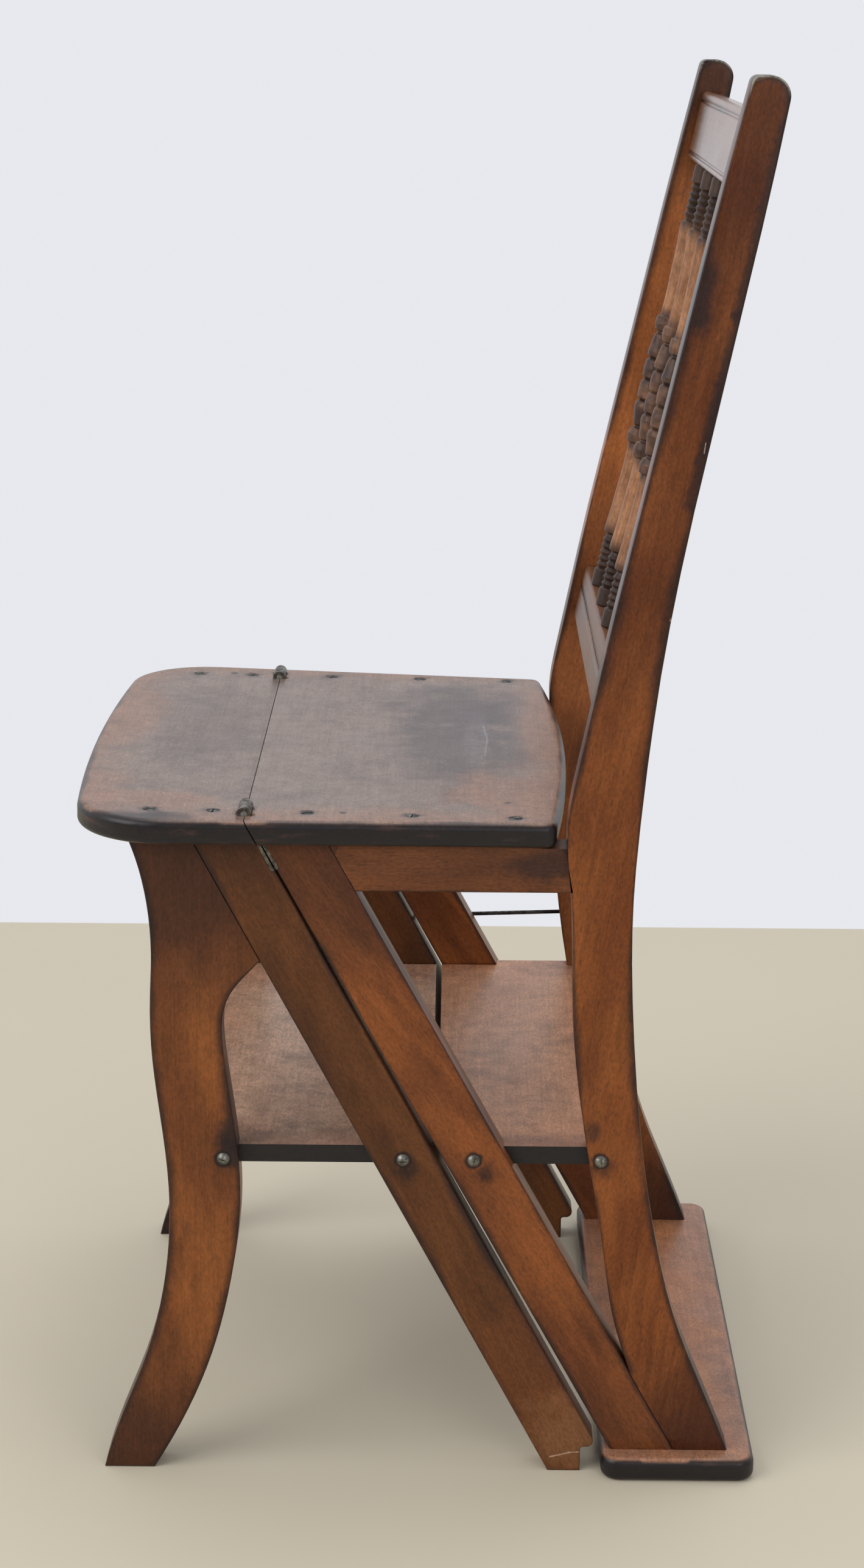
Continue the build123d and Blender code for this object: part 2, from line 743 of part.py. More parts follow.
# Screws, dowels and their holes, each with its head or top at the origin
seat_screw = flat_head_screw(screw_length, screw_radius, screw_head_radius)
seat_hole = flat_head_hole(screw_length, screw_radius, screw_head_radius)
side_screw = round_head_screw(screw_length, screw_radius)
side_hole = round_hole(screw_length, screw_radius)
leaf_screw = flat_head_screw(hinge_screw_length, hinge_screw_radius, hinge_screw_head_radius)
leaf_hole = flat_head_hole(hinge_screw_length, hinge_screw_radius, hinge_screw_head_radius)
peg = Pos(0, 0, -dowel_length / 2) * Cylinder(dowel_radius, dowel_length)
peg_hole = Pos(0, 0, fit_clearance) * round_hole(dowel_length + fit_clearance, dowel_radius)

middle_x = (plinth_front() + plinth_depth - seat_front_reach) / 2
os.makedirs("parts", exist_ok=True)
for name, piece in {**front_half(), **rear_half(), "catch_hook": catch_hook()}.items():
    solids = [Pos(-middle_x, 0, 0) * solid for solid in piece.solids()]
    export_step(Compound(solids), f"parts/{name}.step")
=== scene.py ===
"""Library step chair: its worn varnish, bare treads and dull metal, on a pale floor in soft light.

Lengths are in metres, in the part's own frame: x runs from the seat's front to its back, y to the
sitter's right and z up from the floor.
"""

import json
import logging
import math
from dataclasses import dataclass, field
from enum import Enum
from typing import Any, Callable, Iterable

import bmesh
import bpy
from mathutils import Matrix, Vector
from mathutils.bvhtree import BVHTree
from mathutils.kdtree import KDTree

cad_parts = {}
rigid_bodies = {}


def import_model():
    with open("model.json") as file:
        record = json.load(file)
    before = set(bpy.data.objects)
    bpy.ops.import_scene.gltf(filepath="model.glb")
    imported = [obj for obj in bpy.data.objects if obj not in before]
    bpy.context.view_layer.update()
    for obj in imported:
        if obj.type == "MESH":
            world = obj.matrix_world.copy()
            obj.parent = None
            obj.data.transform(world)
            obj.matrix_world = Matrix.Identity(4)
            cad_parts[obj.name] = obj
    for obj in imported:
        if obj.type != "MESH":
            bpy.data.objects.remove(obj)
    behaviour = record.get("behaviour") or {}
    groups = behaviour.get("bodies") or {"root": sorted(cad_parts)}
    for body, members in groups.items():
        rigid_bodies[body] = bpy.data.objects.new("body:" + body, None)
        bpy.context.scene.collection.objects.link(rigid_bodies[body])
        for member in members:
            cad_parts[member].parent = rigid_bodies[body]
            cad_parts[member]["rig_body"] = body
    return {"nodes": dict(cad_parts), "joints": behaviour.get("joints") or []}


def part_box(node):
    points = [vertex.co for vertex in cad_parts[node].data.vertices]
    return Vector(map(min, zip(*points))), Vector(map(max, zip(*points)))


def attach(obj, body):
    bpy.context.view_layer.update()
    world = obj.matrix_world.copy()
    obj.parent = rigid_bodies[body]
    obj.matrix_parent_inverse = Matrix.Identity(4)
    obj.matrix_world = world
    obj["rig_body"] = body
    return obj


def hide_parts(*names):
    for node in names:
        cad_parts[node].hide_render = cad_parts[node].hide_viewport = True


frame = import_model()
log = logging.getLogger("step_chair")

Colour = tuple[float, float, float]
Place = tuple[float, float, float]
Source = Any

MM = 0.001
HINGE = Vector(next(joint for joint in frame["joints"] if joint["name"] == "fold")["pos_m"])
BACKWARD, TO_RIGHT, UP = Vector((1, 0, 0)), Vector((0, 1, 0)), Vector((0, 0, 1))
HALF_WIDTH = 0.2
HEAD_REACH = 4 * MM
SIDE_HEAD_RADIUS = 5.2 * MM
SEAT_HEAD_RADIUS = 4.2 * MM
STILE_GRAIN_LEAN = math.radians(9)
BACK_LEAN = math.radians(12.7)


# Shader writing


class Graph:
    """Writes shader nodes into one node tree."""

    def __init__(self, tree: bpy.types.NodeTree) -> None:
        """Keeps the tree that the nodes go into."""
        self.tree = tree

    def add(self, kind: str, inputs: dict[Any, Source] | None = None, **settings: Any) -> bpy.types.Node:
        """Adds a node.

        Args:
            kind: The node's type without its leading words.
            inputs: Values or output sockets, by input name or place.
            **settings: The node's own options.

        Returns:
            The new node.
        """
        node = self.tree.nodes.new("ShaderNode" + kind)
        for name, value in settings.items():
            setattr(node, name, value)
        for key, value in (inputs or {}).items():
            self.feed(node.inputs[key], value)
        return node

    def feed(self, socket: bpy.types.NodeSocket, value: Source) -> None:
        """Links an output to a socket, or sets the socket's own value.

        Args:
            socket: The input that is fed.
            value: An output socket, or a value; a colour may leave out its alpha.
        """
        if isinstance(value, bpy.types.NodeSocket):
            self.tree.links.new(value, socket)
        elif socket.type == "RGBA":
            socket.default_value = (*value, 1.0) if len(value) == 3 else value
        else:
            socket.default_value = value

    def math(self, operation: str, *values: Source) -> Source:
        """The result of a sum on single numbers."""
        return self.add("Math", dict(enumerate(values)), operation=operation).outputs[0]

    def vector(self, operation: str, *values: Source) -> Source:
        """The result of a sum on vectors, as a number where the operation gives one."""
        node = self.add("VectorMath", dict(enumerate(values)), operation=operation)
        return node.outputs["Value" if operation in ("DOT_PRODUCT", "LENGTH", "DISTANCE") else "Vector"]

    def ramp(self, value: Source, low: Source, high: Source, to_low: Source = 0.0,
             to_high: Source = 1.0) -> Source:
        """A smooth step of a value between two limits."""
        spans = {"Value": value, "From Min": low, "From Max": high, "To Min": to_low, "To Max": to_high}
        return self.add("MapRange", spans, interpolation_type="SMOOTHSTEP").outputs["Result"]

    def noise(self, vector: Source, scale: float, detail: float = 2.0, roughness: float = 0.5) -> Source:
        """A cloudy value from 0 to 1."""
        inputs = {"Vector": vector, "Scale": scale, "Detail": detail, "Roughness": roughness}
        return self.add("TexNoise", inputs).outputs["Fac"]

    def mix(self, share: Source, first: Source, second: Source, blend: str = "MIX") -> Source:
        """One colour turned into another.

        Args:
            share: How much of the second colour shows.
            first: The colour below.
            second: The colour laid on it.
            blend: How the second is laid on.

        Returns:
            The mixed colour.
        """
        node = self.add("Mix", {"Factor": share}, data_type="RGBA", blend_type=blend)
        self.feed(node.inputs[6], first)
        self.feed(node.inputs[7], second)
        return node.outputs[2]

    def cover(self, below: Source, above: Source, mask: Source, share: float) -> Source:
        """A colour laid over another where a mask shows it, up to a share."""
        return self.mix(self.math("MULTIPLY", mask, share), below, above)

    def drawn(self, vector: Source, cells: Place, detail: float, roughness: float = 0.5) -> Source:
        """A cloudy value from 0 to 1 with its own count of cells in a metre each way."""
        return self.noise(self.vector("MULTIPLY", vector, cells), 1.0, detail, roughness)

    def cloudy(self, vector: Source, scale: float, detail: float, roughness: float = 0.5) -> Source:
        """A cloudy value about zero, from -0.5 to 0.5."""
        return self.math("SUBTRACT", self.noise(vector, scale, detail, roughness), 0.5)

    def group(self, effect: "Effect", **values: Source) -> bpy.types.Node:
        """Places a shared effect.

        Args:
            effect: The effect.
            **values: Its input values, whose names use _ for a space.

        Returns:
            The group's node.
        """
        node = self.add("Group")
        node.node_tree = effect.tree()
        for name, value in values.items():
            self.feed(node.inputs[name.replace("_", " ").capitalize()], value)
        return node


@dataclass(frozen=True)
class Effect:
    """A surface effect that several materials share, as one node group.

    Attributes:
        name: The group's name.
        inputs: Input names with their kinds.
        outputs: Output names with their kinds.
        write: Fills the group from its graph and its input sockets, and gives its outputs by name.
    """

    name: str
    inputs: dict[str, str]
    outputs: dict[str, str]
    write: Callable[[Graph, dict[str, Source]], dict[str, Source]]

    def tree(self) -> bpy.types.NodeTree:
        """The node group, made the first time that it is asked for.

        Returns:
            The group's tree, with named inputs and outputs.
        """
        made = bpy.data.node_groups.get(self.name)
        if made:
            return made
        made = bpy.data.node_groups.new(self.name, "ShaderNodeTree")
        for way, sockets in (("INPUT", self.inputs), ("OUTPUT", self.outputs)):
            for name, kind in sockets.items():
                made.interface.new_socket(name, in_out=way, socket_type="NodeSocket" + kind)
        graph = Graph(made)
        entry, leave = made.nodes.new("NodeGroupInput"), made.nodes.new("NodeGroupOutput")
        results = self.write(graph, {name: entry.outputs[name] for name in self.inputs})
        for name, value in results.items():
            graph.feed(leave.inputs[name], value)
        return made


# Effects that several finishes share

# How many cells of each pattern a metre holds, along, across and through the grain
FIBRE_CELLS = (14.0, 520.0, 520.0)
CLOUD_CELLS = (10.0, 26.0, 26.0)
BEND_CELLS = (5.0, 17.0, 17.0)
PORE_CELLS = (170.0, 1150.0, 1150.0)
SPECKLE_CELLS = (330.0, 620.0, 620.0)
BLOTCH_CELLS = (9.0, 26.0, 26.0)
# The same along x, y and z
EDGE_CELLS = (26.0, 26.0, 130.0)
METAL_CELLS = (900.0, 1400.0, 220.0)
RING_WIDTH = 5.4 * MM
RING_SWAY = 24 * MM
LOG_TAPER = 0.045
SCREW_SMOKE_RAGGED = 13 * MM
SCREW_RING_RAGGED = 4 * MM
KNOCK_SWAY = 12 * MM


def write_board_coordinates(graph: Graph, given: dict[str, Source]) -> dict[str, Source]:
    """Turns a place into (along, across, through) the grain.

    Args:
        graph: The group's graph.
        given: The group's inputs, by name.

    Returns:
        The place from the tree's heart, and the same shifted by the board's seed.
    """
    through = graph.vector("CROSS_PRODUCT", given["Along"], given["Across"])
    away = graph.vector("SUBTRACT", given["Vector"], given["Heart"])
    parts = [graph.vector("DOT_PRODUCT", away, axis) for axis in (given["Along"], given["Across"], through)]
    place = graph.add("CombineXYZ", dict(enumerate(parts))).outputs[0]
    return {"From heart": place, "Shifted": graph.vector("ADD", place, given["Seed"])}


def write_wood_grain(graph: Graph, given: dict[str, Source]) -> dict[str, Source]:
    """Fine fibres, growth rings that run to points along the board, clouds and short dark pores.

    Args:
        graph: The group's graph.
        given: The group's inputs, by name.

    Returns:
        Each of them, with a fine speckle and dark blotches.
    """
    place = given["Shifted"]
    fibre = graph.drawn(place, FIBRE_CELLS, 4.0, 0.62)
    clouds = graph.drawn(place, CLOUD_CELLS, 3.0, 0.55)
    bend = graph.drawn(place, BEND_CELLS, 3.0)
    round_heart = graph.vector("LENGTH", graph.vector("MULTIPLY", given["From heart"], (0.0, 1.0, 1.0)))
    up_log = graph.add("SeparateXYZ", {0: given["From heart"]}).outputs["X"]
    reach = graph.math("MULTIPLY_ADD", up_log, LOG_TAPER, round_heart)
    reach = graph.math("MULTIPLY_ADD", bend, RING_SWAY, reach)
    year = graph.math("FRACT", graph.math("DIVIDE", reach, RING_WIDTH))
    late = graph.math("MULTIPLY", graph.ramp(year, 0.15, 0.88), graph.ramp(year, 1.0, 0.88))
    late = graph.math("MULTIPLY", late, graph.ramp(graph.noise(place, 11.0, 2.0), 0.38, 0.62, 0.25, 1.0))
    pores = graph.ramp(graph.drawn(place, PORE_CELLS, 1.0), 0.63, 0.74)
    speckle = graph.drawn(place, SPECKLE_CELLS, 3.0, 0.7)
    blotches = graph.ramp(graph.drawn(place, BLOTCH_CELLS, 6.0, 0.68), 0.50, 0.70)
    return {"Fibre": fibre, "Rings": late, "Clouds": clouds, "Pores": pores, "Speckle": speckle,
            "Blotches": blotches}


def write_edge_tone(graph: Graph, given: dict[str, Source]) -> dict[str, Source]:
    """A dark band that fades in from a board's open edges, smoky along its inner side.

    Args:
        graph: The group's graph.
        given: The group's inputs, by name.

    Returns:
        How dark it is.
    """
    smoky = graph.cloudy(given["Vector"], 30.0, 3.0, 0.55)
    broad = graph.noise(given["Vector"], 9.0, 1.0)
    reach = graph.math("MULTIPLY", given["Reach"], graph.ramp(broad, 0.34, 0.7, 0.35, 1.7))
    distance = graph.math("DIVIDE", given["Distance"], reach)
    return {"Tone": graph.ramp(graph.math("ADD", distance, smoky), 1.0, 0.0)}


def write_screw_stain(graph: Graph, given: dict[str, Source]) -> dict[str, Source]:
    """A black ring round a screw's head, with a smoky stain beside it.

    Args:
        graph: The group's graph.
        given: The group's inputs, by name.

    Returns:
        How strong the stain is.
    """
    away = graph.vector("SUBTRACT", given["Vector"], given["Centre"])
    rough = graph.cloudy(given["Vector"], 150.0, 3.0)
    near = graph.math("MULTIPLY_ADD", rough, SCREW_RING_RAGGED, graph.vector("LENGTH", away))
    ring = graph.ramp(near, graph.math("MULTIPLY", given["Radius"], 1.4), given["Radius"], 0.0, 0.9)
    beside = graph.vector("LENGTH", graph.vector("SUBTRACT", away, given["Lean"]))
    smoke = graph.math("MULTIPLY_ADD", rough, SCREW_SMOKE_RAGGED, beside)
    smoke = graph.ramp(smoke, graph.math("MULTIPLY", given["Radius"], 2.4), 0.0, 0.0, 0.8)
    return {"Stain": graph.math("MAXIMUM", ring, smoke)}


def write_knocks(graph: Graph, given: dict[str, Source]) -> dict[str, Source]:
    """Small scattered knocks.

    Args:
        graph: The group's graph.
        given: The group's inputs, by name.

    Returns:
        Where they are, as a mask.
    """
    place = given["Vector"]
    sway = graph.add("CombineXYZ", {0: graph.noise(place, 40.0), 1: graph.noise(place, 55.0)}).outputs[0]
    bent = graph.vector("ADD", place, graph.vector("MULTIPLY", sway, (KNOCK_SWAY, KNOCK_SWAY, 0.0)))
    long_cells = graph.vector("MULTIPLY", bent, (1.0, 2.2, 1.0))
    cells = graph.add("TexVoronoi", {"Vector": long_cells, "Scale": given["Scale"], "Randomness": 1.0})
    spot = graph.ramp(cells.outputs["Distance"], 0.15, 0.04)
    where = graph.ramp(graph.noise(place, 16.0, 2.0), 0.54, 0.68)
    return {"Knock": graph.math("MULTIPLY", spot, where)}


def share_along(graph: Graph, given: dict[str, Source]) -> tuple[Source, Source, Source]:
    """How far along the run from a start to an end a place lies.

    Args:
        graph: The group's graph.
        given: The group's inputs, among them Vector, Start and End.

    Returns:
        The run, the way from its start to the place, and the share of the run that this makes.
    """
    run = graph.vector("SUBTRACT", given["End"], given["Start"])
    away = graph.vector("SUBTRACT", given["Vector"], given["Start"])
    length = graph.vector("DOT_PRODUCT", run, run)
    return run, away, graph.math("DIVIDE", graph.vector("DOT_PRODUCT", away, run), length)


def write_end_shade(graph: Graph, given: dict[str, Source]) -> dict[str, Source]:
    """A cloudy shade that grows from one place to another.

    Args:
        graph: The group's graph.
        given: The group's inputs, by name.

    Returns:
        How dark it is.
    """
    share = share_along(graph, given)[2]
    cloudy = graph.cloudy(given["Vector"], 26.0, 3.0, 0.6)
    return {"Tone": graph.ramp(graph.math("MULTIPLY_ADD", cloudy, 0.7, share), 0.0, 1.0)}


def write_smudge(graph: Graph, given: dict[str, Source]) -> dict[str, Source]:
    """A cloudy patch round a middle, with its own half sizes.

    Args:
        graph: The group's graph.
        given: The group's inputs, by name.

    Returns:
        How strong it is.
    """
    away = graph.vector("DIVIDE", graph.vector("SUBTRACT", given["Vector"], given["Middle"]), given["Size"])
    cloudy = graph.cloudy(given["Vector"], 32.0, 6.0, 0.66)
    reach = graph.math("MULTIPLY_ADD", cloudy, 1.8, graph.vector("LENGTH", away))
    return {"Tone": graph.ramp(reach, 1.15, 0.45)}


def write_scratch(graph: Graph, given: dict[str, Source]) -> dict[str, Source]:
    """A thin ragged line between two places.

    Args:
        graph: The group's graph.
        given: The group's inputs, by name.

    Returns:
        How strong it is.
    """
    run, away, share = share_along(graph, given)
    share = graph.math("MINIMUM", graph.math("MAXIMUM", share, 0.0), 1.0)
    near = graph.add("VectorMath", {0: run, "Scale": share}, operation="SCALE").outputs["Vector"]
    rough = graph.cloudy(given["Vector"], 190.0, 3.0)
    apart = graph.math("MULTIPLY_ADD", rough, given["Width"], graph.vector("DISTANCE", away, near))
    return {"Line": graph.ramp(apart, given["Width"], graph.math("MULTIPLY", given["Width"], 0.3))}


VECTOR, NUMBER = "Vector", "Float"

BOARD_COORDINATES = Effect(
    "board_coordinates",
    {"Vector": VECTOR, "Along": VECTOR, "Across": VECTOR, "Heart": VECTOR, "Seed": VECTOR},
    {"From heart": VECTOR, "Shifted": VECTOR},
    write_board_coordinates,
)
WOOD_GRAIN = Effect(
    "wood_grain",
    {"Shifted": VECTOR, "From heart": VECTOR},
    {name: NUMBER for name in ("Fibre", "Rings", "Clouds", "Pores", "Speckle", "Blotches")},
    write_wood_grain,
)
EDGE_TONE = Effect(
    "edge_tone",
    {"Vector": VECTOR, "Distance": NUMBER, "Reach": NUMBER},
    {"Tone": NUMBER},
    write_edge_tone,
)
SCREW_STAIN = Effect(
    "screw_stain",
    {"Vector": VECTOR, "Centre": VECTOR, "Radius": NUMBER, "Lean": VECTOR},
    {"Stain": NUMBER},
    write_screw_stain,
)
KNOCKS = Effect("knocks", {"Vector": VECTOR, "Scale": NUMBER}, {"Knock": NUMBER}, write_knocks)
END_SHADE = Effect(
    "end_shade",
    {"Vector": VECTOR, "Start": VECTOR, "End": VECTOR},
    {"Tone": NUMBER},
    write_end_shade,
)
SMUDGE = Effect(
    "smudge",
    {"Vector": VECTOR, "Middle": VECTOR, "Size": VECTOR},
    {"Tone": NUMBER},
    write_smudge,
)
SCRATCH = Effect(
    "scratch",
    {"Vector": VECTOR, "Start": VECTOR, "End": VECTOR, "Width": NUMBER},
    {"Line": NUMBER},
    write_scratch,
)


# Marks on a board


@dataclass(frozen=True)
class Shade:
    """Darkening of a board from one place towards another, up to a share; those under the seat and up the left
    stile are painted shadow and shade.
    """

    start: Place
    end: Place
    share: float


@dataclass(frozen=True)
class Smudge:
    """A soft patch of a colour: its middle, its half sizes and its share."""

    middle: Place
    size: Place
    share: float
    colour: Colour


@dataclass(frozen=True)
class Scratch:
    """A thin line of a colour between two places."""

    start: Place
    end: Place
    width: float
    share: float
    colour: Colour


@dataclass(frozen=True)
class Marks:
    """What has marked one board.

    Attributes:
        shades: Where it darkens towards an end.
        smudges: Its soft patches.
        scratches: Its thin lines.
        screws: Where its screws' heads are, which have blackened the wood round them.
        smoke: Where a screw's smoky stain lies from its head.
    """

    shades: tuple[Shade, ...] = ()
    smudges: tuple[Smudge, ...] = ()
    scratches: tuple[Scratch, ...] = ()
    screws: tuple[Vector, ...] = ()
    smoke: Place = (0.0, 0.0, 0.0)

    def colour(self, graph: Graph, place: Source, colour: Source, black: Colour, radius: float) -> Source:
        """A board's colour with its smudges, scratches and screw stains laid over it.

        Args:
            graph: The graph of the board's material.
            place: The place on the board.
            colour: The colour without them.
            black: The colour of the screw stains.
            radius: The radius of the screws' heads.

        Returns:
            The colour with them.
        """
        for smudge in self.smudges:
            patch = graph.group(SMUDGE, vector=place, middle=smudge.middle, size=smudge.size)
            colour = graph.cover(colour, smudge.colour, patch.outputs["Tone"], smudge.share)
        for scratch in self.scratches:
            line = graph.group(SCRATCH, vector=place, start=scratch.start, end=scratch.end,
                               width=scratch.width)
            colour = graph.cover(colour, scratch.colour, line.outputs["Line"], scratch.share)
        for head in self.screws:
            stain = graph.group(SCREW_STAIN, vector=place, centre=head, radius=radius, lean=self.smoke)
            colour = graph.mix(stain.outputs["Stain"], colour, black)
        return colour


# Finishes


@dataclass(frozen=True)
class Grain:
    """How the grain lies in one board.

    Attributes:
        along: The direction of its length.
        across: The direction across its broad face.
        heart: A place on the line of the tree's heart.
        seed: Sets its streaks apart from other boards'.
    """

    along: Place
    across: Place
    heart: Place = (0.0, 0.0, 0.0)
    seed: float = 0.0

    def wood(self, graph: Graph, place: Source) -> bpy.types.Node:
        """Places the shared grain of wood for this board.

        Args:
            graph: The graph of the board's material.
            place: The place on the board.

        Returns:
            The grain's node.
        """
        seed = (self.seed, 0.37 * self.seed, 0.71 * self.seed)
        board = graph.group(BOARD_COORDINATES, vector=place, along=self.along, across=self.across,
                            heart=self.heart, seed=seed)
        shifted, from_heart = board.outputs["Shifted"], board.outputs["From heart"]
        return graph.group(WOOD_GRAIN, shifted=shifted, from_heart=from_heart)


def new_material(name: str) -> tuple[bpy.types.Material, Graph, bpy.types.Node]:
    """An empty material.

    Args:
        name: The material's name.

    Returns:
        The material, its graph and its shader.
    """
    material = bpy.data.materials.new(name)
    material.use_nodes = True
    graph = Graph(material.node_tree)
    return material, graph, material.node_tree.nodes["Principled BSDF"]


def scaled(colour: Colour, share: float) -> Colour:
    """A colour made lighter or darker."""
    return tuple(channel * share for channel in colour)


def toned(graph: Graph, colour: Source, share: Source) -> Source:
    """A colour made lighter or darker by a share that varies over the surface."""
    grey = graph.add("CombineColor", {0: share, 1: share, 2: share}).outputs[0]
    return graph.mix(1.0, colour, grey, "MULTIPLY")


def streaked(graph: Graph, colour: Source, wood: bpy.types.Node, low: float = 0.9, high: float = 1.08,
             speckle: float = 0.16) -> Source:
    """A colour with the wood's fibres and fine speckle in it.

    Args:
        graph: The graph of the board's material.
        colour: The colour without them.
        wood: The shared grain for that board.
        low: The least share of its brightness that the fibres leave.
        high: The most that they give.
        speckle: How far the speckle darkens and lightens it.

    Returns:
        The colour with them.
    """
    share = graph.ramp(wood.outputs["Fibre"], 0.3, 0.75, low, high)
    fine = graph.ramp(wood.outputs["Speckle"], 0.32, 0.68, 1.0 - speckle, 1.0 + speckle)
    return toned(graph, colour, graph.math("MULTIPLY", share, fine))


def lay(graph: Graph, shader: bpy.types.Node, colour: Source, dull: Source, relief: Source, strength: float,
        depth: float) -> None:
    """Feeds a finish's varying parts to its shader.

    Args:
        graph: The graph of the material.
        shader: Its shader.
        colour: The colour.
        dull: How dull the surface is.
        relief: The height of its fine relief.
        strength: How strongly the relief shows.
        depth: How deep the relief is.
    """
    graph.feed(shader.inputs["Base Color"], colour)
    graph.feed(shader.inputs["Roughness"], dull)
    bump = graph.add("Bump", {"Height": relief, "Strength": strength, "Distance": depth})
    graph.feed(shader.inputs["Normal"], bump.outputs["Normal"])


@dataclass(frozen=True)
class Varnish:
    """Old dark varnish on hardwood, rubbed orange in the open and nearly black at the edges.

    Attributes:
        light: The colour where it is rubbed thin.
        body: The colour of most of it.
        dark: The colour where stain and dirt have stayed, and of the painted shadow and shade that some shades
            lay on.
        black: The colour at arrises, joints and screws.
        bare: The colour of wood where an arris has lost its varnish.
        handled: The colour of arrises that hands have rubbed.
        reach: How far the dark edges come in.
        roughness: How dull the varnish is.
        shine: How strongly it mirrors.
        figure: How strongly the growth rings show.
        blotched: How strongly dark blotches show.
        pored: How dark its pores are.
        edged: How black its edges are.
        relief: How strongly its fine relief shows.
        worn_above: Height from which the arrises are rubbed pale.
    """

    light: Colour = (0.240, 0.072, 0.0175)
    body: Colour = (0.152, 0.044, 0.0118)
    dark: Colour = (0.038, 0.0150, 0.0095)
    black: Colour = (0.0150, 0.0100, 0.0105)
    bare: Colour = (0.30, 0.17, 0.10)
    handled: Colour = (0.30, 0.285, 0.235)
    reach: float = 9 * MM
    roughness: float = 0.30
    shine: float = 0.22
    figure: float = 0.26
    blotched: float = 0.34
    pored: float = 0.4
    edged: float = 0.84
    relief: float = 0.1
    worn_above: float = 2.0

    def material(self, name: str, grain: Grain, marks: Marks = Marks()) -> bpy.types.Material:
        """The finish on one board.

        Args:
            name: The material's name.
            grain: How the board's grain lies.
            marks: What has marked it.

        Returns:
            The material.
        """
        material, graph, shader = new_material(name)
        place = graph.add("TexCoord").outputs["Object"]
        wood = grain.wood(graph, place)
        rim = graph.add("Attribute", attribute_name="rim").outputs["Fac"]
        seam = graph.add("Attribute", attribute_name="seam").outputs["Fac"]
        colour = graph.mix(graph.ramp(wood.outputs["Clouds"], 0.34, 0.66), self.body, self.light)
        colour = graph.cover(colour, scaled(self.body, 0.45), wood.outputs["Rings"], self.figure)
        colour = graph.cover(colour, self.dark, wood.outputs["Blotches"], self.blotched)
        for shade in marks.shades:
            tone = graph.group(END_SHADE, vector=place, start=shade.start, end=shade.end).outputs["Tone"]
            colour = graph.cover(colour, self.dark, tone, shade.share)
        tone = graph.group(EDGE_TONE, vector=place, distance=rim, reach=self.reach).outputs["Tone"]
        colour = graph.cover(colour, self.black, tone, self.edged)
        colour = marks.colour(graph, place, colour, self.black, SIDE_HEAD_RADIUS)
        colour = streaked(graph, colour, wood)
        colour = graph.cover(colour, self.black, wood.outputs["Pores"], self.pored)
        colour = graph.mix(graph.ramp(seam, 0.9 * MM, 0.15 * MM, 0.0, 0.8), colour, scaled(self.black, 0.6))
        colour = self.rubbed(graph, place, rim, colour)
        dull = graph.math("MULTIPLY_ADD", wood.outputs["Clouds"], 0.16, self.roughness - 0.08)
        dull = graph.math("MULTIPLY_ADD", wood.outputs["Fibre"], 0.06, dull)
        relief = graph.math("MULTIPLY_ADD", wood.outputs["Pores"], -0.8, wood.outputs["Fibre"])
        relief = graph.math("MULTIPLY_ADD", graph.noise(place, 45.0, 2.0), 2.6, relief)
        lay(graph, shader, colour, dull, relief, self.relief, 0.5 * MM)
        shader.inputs["Specular IOR Level"].default_value = self.shine
        return material

    def rubbed(self, graph: Graph, place: Source, rim: Source, colour: Source) -> Source:
        """Rubs the arrises pale here and there, and wholly where hands take hold.

        Args:
            graph: The graph of the board's material.
            place: The place on the board.
            rim: Its distance from the open arrises.
            colour: The colour before.

        Returns:
            The colour after.
        """
        chips = graph.ramp(graph.noise(place, 75.0, 3.0, 0.6), 0.57, 0.64, 0.0, 0.55)
        worn = graph.math("MULTIPLY", graph.ramp(rim, 0.9 * MM, 0.2 * MM), chips)
        colour = graph.mix(worn, colour, self.bare)
        height = graph.add("SeparateXYZ", {0: place}).outputs["Z"]
        held = graph.math("MULTIPLY", graph.ramp(height, self.worn_above, self.worn_above + 8 * MM),
                          graph.ramp(rim, 1.7 * MM, 0.4 * MM))
        patchy = graph.ramp(graph.noise(place, 120.0, 3.0, 0.6), 0.36, 0.6)
        return graph.mix(graph.math("MULTIPLY", held, patchy), colour, self.handled)


